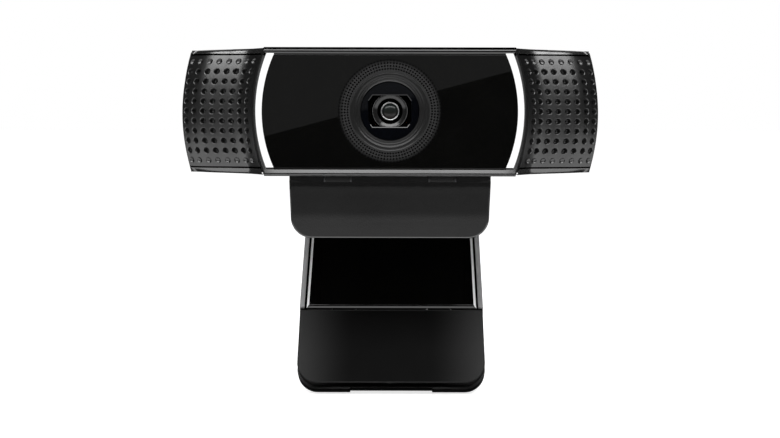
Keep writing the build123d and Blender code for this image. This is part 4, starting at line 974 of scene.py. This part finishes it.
class WEBCAM_OT_grilles(bpy.types.Operator):
    """The two perforated wings with their bevelled rims"""
    bl_idname = "webcam.grilles"
    bl_label = "Grilles"

    COLUMNS = (1.47, 3.05, 5.08, 7.2, 9.45, 11.6, 13.75, 15.6)     # reach of each column of holes
    REACH_SHARES = (0.0, 0.17, 0.45, 0.79, 1.0)
    DEPTHS = (1.0, 3.3, 4.5, 5.85, 8.0)         # face's depth at those shares of the reach
    PITCH = 2.1                                 # of the columns on the flat sheet
    SHEET_HALF = 12.62                          # sheet's half height
    RISE = 0.14                                 # sheet above the frame's middle
    BOW_DROP = 0.6                              # middle of the wing's bow below the frame's
    END_BOW = 48.0                              # bow at the wing's end
    MEAN_BOW = 44.0                             # bow from which a point's arc length is first guessed
    BACK = 9.0                                  # depth at which the rim's walls start
    SKIRT = 1.0                                 # sheet's edge, turned back
    RIM = {1: (14.36, 13.09), -1: (14.25, 12.8)}    # rim's outside and inside height, above and below
    RIM_TAPER = 0.45
    RIM_REACH = 13.6                            # height up to which the face's bow is followed
    WALL_HALF = 13.5
    # painted shade below DARK_BELOW and on the end wall, a painted highlight on upward faces beyond LIGHT_FROM
    DARK_BELOW, LIGHT_FROM = 12.83, 5.0         # height and reach at which the rim's looks change
    STEP = 0.05                                 # over which the face's slope is read
    FACE_NEAR = 0.012                           # a point this near the face lies on it

    def execute(self, context):
        self.sizes = context.scene.webcam_grille
        self.frame_bow = context.scene.webcam_head.frame_bow
        reach = np.linspace(0, self.sizes.reach, 600)
        depth = smooth_curve([s * self.sizes.reach for s in self.REACH_SHARES], self.DEPTHS, reach)
        arc = np.concatenate([[0], np.cumsum(np.hypot(np.diff(reach), np.diff(depth)))])
        self.table, self.total = (arc, reach, depth), arc[-1]
        tree = perforated_sheet_tree()
        for side, label in ((-1, "left"), (1, "right")):
            self.sheet(tree, side, label)
            self.rim(side, label)
        return {"FINISHED"}

    def surface(self, arc, z):
        """(x, depth) on the wing's face at an arc length from the frame and a height, as arrays."""
        lengths, reaches, depths = self.table
        reach = np.interp(arc, lengths, reaches)
        bow = self.frame_bow + (self.END_BOW - self.frame_bow) * reach / self.sizes.reach
        x = HALF_WIDTH + reach - sagitta(bow, z + self.BOW_DROP)
        blend = np.clip(reach / 3.0, 0, 1)
        return x, np.interp(arc, lengths, depths) + sagitta(self.sizes.crown, z) * (0.25 + 0.75 * blend)

    def sheet(self, tree, side, label):
        """The perforated sheet: made flat, then wrapped on the wing's face."""
        s = self.sizes
        name = "grille_sheet_" + label
        mesh = tree.run({
            "Columns": s.columns, "Rows": s.rows, "Column Pitch": self.PITCH, "Row Pitch": s.row_pitch,
            "Hole Radius": s.hole_radius, "Rim Radius": s.rim_radius, "Depth": s.hole_depth,
            "Dimple Share": 0.2, "Segments": 16, "Finish": finish("grille_black")}, name)
        half_across, half_up = s.columns * self.PITCH / 2, s.rows * s.row_pitch / 2
        centres = np.interp(self.COLUMNS, self.table[1], self.table[0])
        bounds = np.concatenate([[0.0], (centres[1:] + centres[:-1]) / 2, [self.total]])

        def wrap(p):
            across, up, sunk = p[:, 0], p[:, 1].copy(), -p[:, 2]
            column = np.clip(np.floor((across + half_across) / self.PITCH), 0, s.columns - 1).astype(int)
            offset = across - (column + 0.5) * self.PITCH + half_across
            reach = np.where(offset > 0, bounds[column + 1] - centres[column], centres[column] - bounds[column])
            row = np.abs((up + half_up) / s.row_pitch % 1.0 - 0.5)
            on_edge = (np.abs(offset) > self.PITCH * 0.499) | (row > 0.499)
            arc = centres[column] + np.where(on_edge, offset * reach / (self.PITCH / 2), offset)
            up = np.where(np.abs(up) > half_up - 0.01, np.sign(up) * self.SHEET_HALF, up) + self.RISE
            x, depth = self.surface(arc, up)
            ahead = self.surface(np.minimum(arc + self.STEP, self.total), up)
            behind = self.surface(np.maximum(arc - self.STEP, 0), up)
            run, rise = ahead[0] - behind[0], ahead[1] - behind[1]
            span = np.hypot(run, rise)
            x, depth = x - sunk * rise / span, depth + sunk * run / span
            return np.stack([side * x, FRONT_Y + depth, LENS_Z + up], axis=1)

        # painted shade: the holes' walls and floors are black without gloss
        mesh.materials.append(finish("hole_black"))
        repaint(mesh, lambda face: face.center.z < -0.3 * s.hole_depth)
        mesh = moved_mesh(mesh, wrap)
        if side < 0:
            mesh.flip_normals()
        self.skirt(mesh)
        piece = dress_mesh(mesh, name, "head", (), "grille_black", ("grille_" + label,), sharp=60)
        self.even_normals(piece.data, side)

    def even_normals(self, mesh, side):
        """Give the points on the open face the curved face's own normals, so that it shades evenly."""
        x, depth, z = place_of(mesh_array(mesh).T)
        x, step = x * side, self.STEP
        arc = np.interp(x + sagitta(self.MEAN_BOW, z + self.BOW_DROP) - HALF_WIDTH, self.table[1], self.table[0])
        for _ in range(3):
            at_x, _ = self.surface(arc, z)
            arc = np.clip(arc + (x - at_x) * 1.1, 0, self.total)
        _, at_depth = self.surface(arc, z)
        far, near = self.surface(arc + step, z), self.surface(arc - step, z)
        over, under = self.surface(arc, z + step), self.surface(arc, z - step)
        along = np.stack([far[0] - near[0], far[1] - near[1], np.zeros(len(z))], axis=1)
        upward = np.stack([over[0] - under[0], over[1] - under[1], np.full(len(z), 2 * step)], axis=1)
        exact = np.cross(along, upward)
        exact /= np.linalg.norm(exact, axis=1)[:, None]
        exact[:, 0] *= side
        exact *= np.where(exact[:, 1] > 0, -1.0, 1.0)[:, None]
        open_face = (np.abs(depth - at_depth) < self.FACE_NEAR)[:, None]
        mesh.normals_split_custom_set_from_vertices(np.where(open_face, exact, mesh_array(mesh, "normal")))

    def skirt(self, mesh):
        """Turn the sheet's outer edge back, so that its seam has depth."""
        work = bmesh.new()
        work.from_mesh(mesh)
        grown = bmesh.ops.extrude_edge_only(work, edges=[e for e in work.edges if e.is_boundary])
        for vert in [v for v in grown["geom"] if isinstance(v, bmesh.types.BMVert)]:
            vert.co.y += self.SKIRT * MM
        work.to_mesh(mesh)
        work.free()

    def at(self, arc, z):
        """(x, depth) on the wing's face at one place."""
        x, depth = self.surface(np.array([arc]), np.array([z]))
        return x[0], depth[0]

    def rim(self, side, label):
        """Bevelled border above and below the sheet and the wall round the end."""
        back = self.BACK + 0.2
        parts = []
        for sign in (1, -1):
            outside, low = self.RIM[sign]
            rings = []
            for arc in np.linspace(0.0, self.total, 48):
                reach = np.interp(arc, self.table[0], self.table[1])
                top = outside - self.RIM_TAPER * reach / self.sizes.reach
                section = [(low - 0.6, 1.6), (low, 1.6), (low + 0.03, 0.34), (low + 0.07, 0.2), (top - 0.76, 0.2),
                           (top - 0.42, 0.39), (top - 0.16, 0.6), (top - 0.05, 0.85), (top, 1.3), (top, None)]
                ring = []
                for z, extra in section:
                    x, depth = self.at(arc, sign * min(z, self.RIM_REACH))
                    depth = back if extra is None else min(depth + extra - 0.15, self.BACK)
                    ring.append(head_point(side * x, depth, sign * z))
                rings.append(ring)
            points, faces = loft(rings, closed=False)
            parts.append((points, turned_over(faces) if sign * side > 0 else faces))
        wall = []
        for z in np.linspace(-self.WALL_HALF, self.WALL_HALF, 40):
            x, depth = self.at(self.total, z)
            wall.append([head_point(side * x, min(depth, self.BACK), z), head_point(side * x, back, z)])
        points, faces = loft(wall, closed=False)
        parts.append((points, turned_over(faces) if side < 0 else faces))
        piece = add_piece("grille_rim_" + label, merged(*parts), "head", ("rim_satin", "hole_black", "rim_light"),
                          "grille_black", sharp=40)

        # Painted shade on the end wall and below the bevel; a painted highlight on faces that look up, beyond
        # LIGHT_FROM.
        def look(face):
            x, _, z = place_of(face.center)
            if abs(face.normal.x) > 0.8 or abs(z) < self.DARK_BELOW:
                return 1
            return 2 * (face.normal.z > 0.8 and abs(x) > HALF_WIDTH + self.LIGHT_FROM)

        repaint(piece.data, look)


# ---------------------------------------------------------------- clip

class WEBCAM_OT_shells(bpy.types.Operator):
    """The clip's, leg's and foot's mouldings with softened edges, and the lip's front"""
    bl_idname = "webcam.shells"
    bl_label = "Shells and clip"

    # node, piece, edge width, body, look, slot, sharpness
    COPIES = (
        ("clip_bracket", "clip_body", 0.28, "clip", "lip_black", "clip_black", 40),
        ("arm_shell", "leg_rails", 0.2, "arm", "rail_grey", "arm_grey", 40),
        ("arm_panel", "leg_panel", 0.05, "arm", "panel_gloss", "panel_black", 20),
        ("foot_shell", "foot_body", 0.3, "foot", "toe_black", "clip_black", 40),
        ("foot_pad", "foot_rest", 0.3, "foot", "foot_rubber", "pad_rubber", 40),
        ("seat_pad", "seat_rest", 0.2, "clip", "soft_rubber", "pad_rubber", 40),
    )
    FOOT_ALONG, FOOT_GROWTH = Vector((0.0, -0.387, -0.922)), 0.02       # towards the toe
    ARM_HINGE_Z, POCKET_HALF, POCKET_WIDEN = -0.0008, 20.85, 0.8
    KNUCKLE_Z, KNUCKLE_Y = 4.2, -20.0
    LIP_TOP, LIP_LOW, LIP_CORNER = 5.4, -7.6, 4.8
    LIP_HALF_TOP, LIP_HALF_LOW = 23.05, 22.45
    LIP_BACK, LIP_FRONT, LIP_MIDDLE = -27.9, -28.3, (0.0, -1.1)
    LIP_ROUNDING = ((0.0, 0.34), (0.05, 0.19), (0.15, 0.07), (0.3, 0.0), (0.45, 0.0))      # inset and depth
    KICK, KICK_Z, KICK_RUN = 0.42, -3.2, 0.7        # how far the lip's lower half stands out, where, how softly
    FALL, FALL_Z, FALL_RUN = 0.3, 3.6, 1.7          # how far its top leans back

    def execute(self, context):
        made = {}
        for node, name, width, body, look, slot, sharp in self.COPIES:
            made[name] = dress_mesh(softened_copy(node, width), name, body, look, slot, (node,), sharp).data
        # painted highlight on the leg panel's bevels
        self.bright_edges(made["leg_panel"], "bright_bevel", 0.3)
        # painted highlight on the foot pad's rounded edges
        self.bright_edges(made["foot_rest"], "rubbed_edge")
        self.dark_middle(made["leg_rails"])
        self.plain_knuckles(made["clip_body"])
        self.lengthen(made["foot_rest"])
        self.lip()
        return {"FINISHED"}

    def bright_edges(self, mesh, look, sideways=-1.0):
        """Give the rounded edges of a mesh's front another finish, and shade its main face flat."""
        mesh.materials.append(finish(look))
        widest = max(mesh.polygons, key=lambda face: face.area)
        main = widest.normal if widest.normal.y < 0 else -widest.normal
        for face in mesh.polygons:
            lean = face.normal.dot(main)
            if 0.3 < lean < 0.97 and abs(face.normal.x) > sideways:
                face.material_index = 1
            face.use_smooth = lean < 0.999

    def lengthen(self, mesh):
        """Draw the foot's pad out towards the toe."""
        hinge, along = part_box("foot_pin")[0], self.FOOT_ALONG
        for vert in mesh.vertices:
            vert.co += along * self.FOOT_GROWTH * (vert.co - Vector((vert.co.x, hinge.y, hinge.z))).dot(along)

    def dark_middle(self, mesh):
        """Leave only the side rails in their painted-light grey; the pocket and its lower edge are black."""
        mesh.materials.append(finish("panel_gloss"))
        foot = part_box("foot_pin")[0].z

        def inside(face):
            share = (self.ARM_HINGE_Z - face.center.z) / (self.ARM_HINGE_Z - foot)
            return abs(face.center.x) < (self.POCKET_HALF + self.POCKET_WIDEN * share) * MM

        repaint(mesh, inside)

    def plain_knuckles(self, mesh):
        """Take the gloss off the knuckles that sit in the lip under the head, in a pale grey that matches the
        painted light at the lip's top.
        """
        mesh.materials.append(finish("lip_seam"))
        z, y = self.KNUCKLE_Z * MM, self.KNUCKLE_Y * MM
        repaint(mesh, lambda face: face.center.z > z and face.center.y < y)

    def lip(self):
        """The lip's front: a gently kicked face with rounded corners and a fine round edge."""
        top, low, corner = self.LIP_TOP, self.LIP_LOW, self.LIP_CORNER
        wide, narrow = self.LIP_HALF_TOP, self.LIP_HALF_LOW

        def half(z):
            return narrow + (wide - narrow) * (z - low) / (top - low)

        right = [(half(z), z) for z in np.linspace(top, low + corner, 20)]
        start = half(low + corner)
        right += [(start - corner + corner * math.cos(a), low + corner - corner * math.sin(a))
                  for a in np.linspace(0, math.pi / 2, 18)[1:]]
        bottom = [(x, low) for x in np.linspace(right[-1][0], -right[-1][0], 40)[1:-1]]
        roof = [(x, top) for x in np.linspace(-wide, wide, 40)[1:-1]]
        outline = right + bottom + [(-x, z) for x, z in reversed(right)] + roof

        def edge(inset, y):
            loop = []
            for i, (x, z) in enumerate(outline):
                (ax, az), (bx, bz) = outline[i - 1], outline[(i + 1) % len(outline)]
                nx, nz = bz - az, ax - bx
                size = math.hypot(nx, nz) or 1.0
                loop.append((x + nx / size * inset, y, z + nz / size * inset))
            return loop

        def ring(share):
            loop = [between(place, self.LIP_MIDDLE, share) for place in outline]
            return [(x, self.LIP_FRONT, z) for x, z in loop]

        rings = [edge(0.0, self.LIP_BACK)] + [edge(inset, self.LIP_FRONT + y) for inset, y in self.LIP_ROUNDING]
        rings += [ring(share) for share in np.linspace(0.06, 0.985, 18)]
        points, faces = loft(rings, cap_first=True, cap_last=True)
        kicked = []
        for x, y, z in points:
            kick = self.KICK / (1 + math.exp((z - self.KICK_Z) / self.KICK_RUN))
            fall = min(1.0, max(0.0, (z - self.FALL_Z) / self.FALL_RUN))
            kicked.append((x, y - kick + self.FALL * fall * fall * (3 - 2 * fall), z))
        lip = add_piece("lip_face", (kicked, faces), "clip", "lip_black", "clip_black", sharp=45, outward=True)
        self.bright_edges(lip.data, "lip_edge")


class WEBCAM_OT_finishes(bpy.types.Operator):
    """Finishes for the frame's own nodes that stay visible"""
    bl_idname = "webcam.finishes"
    bl_label = "Node finishes"

    NODES = {
        "satin_black": ("rear_housing", "tilt_pin_caps", "arm_pin_caps", "lens_holder", "usb_header"),
        "lip_black": ("tilt_bracket",),
        "soft_rubber": ("lip_pad", "cable_gland", "microphone_boot_left", "microphone_boot_right"),
        "steel": ("tilt_pin", "arm_pin", "foot_pin", "board_screws", "tilt_bracket_screws", "shield_can",
                  "focus_springs", "focus_magnets", "microphone_left", "microphone_right"),
        "dark_screw": ("housing_screws", "tilt_washers", "arm_washers", "foot_washers"),
        "brass": ("tripod_insert",),
        "copper": ("focus_coil",),
        "board_green": ("main_board", "led_board_left", "led_board_right"),
        "chip_black": ("image_sensor",),
        "led_white": ("leds",),
        "thermal_grey": ("thermal_pad",),
        "coated_glass": ("ir_filter",),
    }

    def execute(self, context):
        for look, nodes in self.NODES.items():
            for node in nodes:
                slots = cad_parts[node].data.materials
                for i in range(len(slots)):
                    slots[i] = finish(look)
        return {"FINISHED"}


# ---------------------------------------------------------------- sidebar

class WEBCAM_PT_sidebar(bpy.types.Panel):
    """Sizes, finishes and steps of the webcam"""
    bl_idname = "WEBCAM_PT_sidebar"
    bl_label = "Clip-on webcam"
    bl_space_type = "VIEW_3D"
    bl_region_type = "UI"
    bl_category = "Webcam"

    def draw(self, context):
        for group in GROUPS:
            box = self.layout.box()
            settings = getattr(context.scene, group)
            for key in settings.bl_rna.properties.keys():
                if key not in ("rna_type", "name"):
                    box.prop(settings, key)
        for step in STEPS:
            self.layout.operator(step.bl_idname)


GROUPS = {"webcam_head": HeadSizes, "webcam_grille": GrilleSizes, "webcam_finishes": Finishes}
STEPS = (WEBCAM_OT_stage, WEBCAM_OT_front_frame, WEBCAM_OT_window, WEBCAM_OT_lens, WEBCAM_OT_grilles,
         WEBCAM_OT_shells, WEBCAM_OT_finishes)
CLASSES = (*GROUPS.values(), *STEPS, WEBCAM_PT_sidebar)


def register():
    """Make the settings, steps and sidebar known."""
    for cls in CLASSES:
        bpy.utils.register_class(cls)
    for key, group in GROUPS.items():
        setattr(bpy.types.Scene, key, bpy.props.PointerProperty(type=group))


def unregister():
    """Take them away again."""
    for key in GROUPS:
        delattr(bpy.types.Scene, key)
    for cls in reversed(CLASSES):
        bpy.utils.unregister_class(cls)


def main():
    """Run every step in order."""
    register()
    for step in STEPS:
        group, name = step.bl_idname.split(".")
        getattr(getattr(bpy.ops, group), name)()
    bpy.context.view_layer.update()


if __name__ == "__main__":
    main()
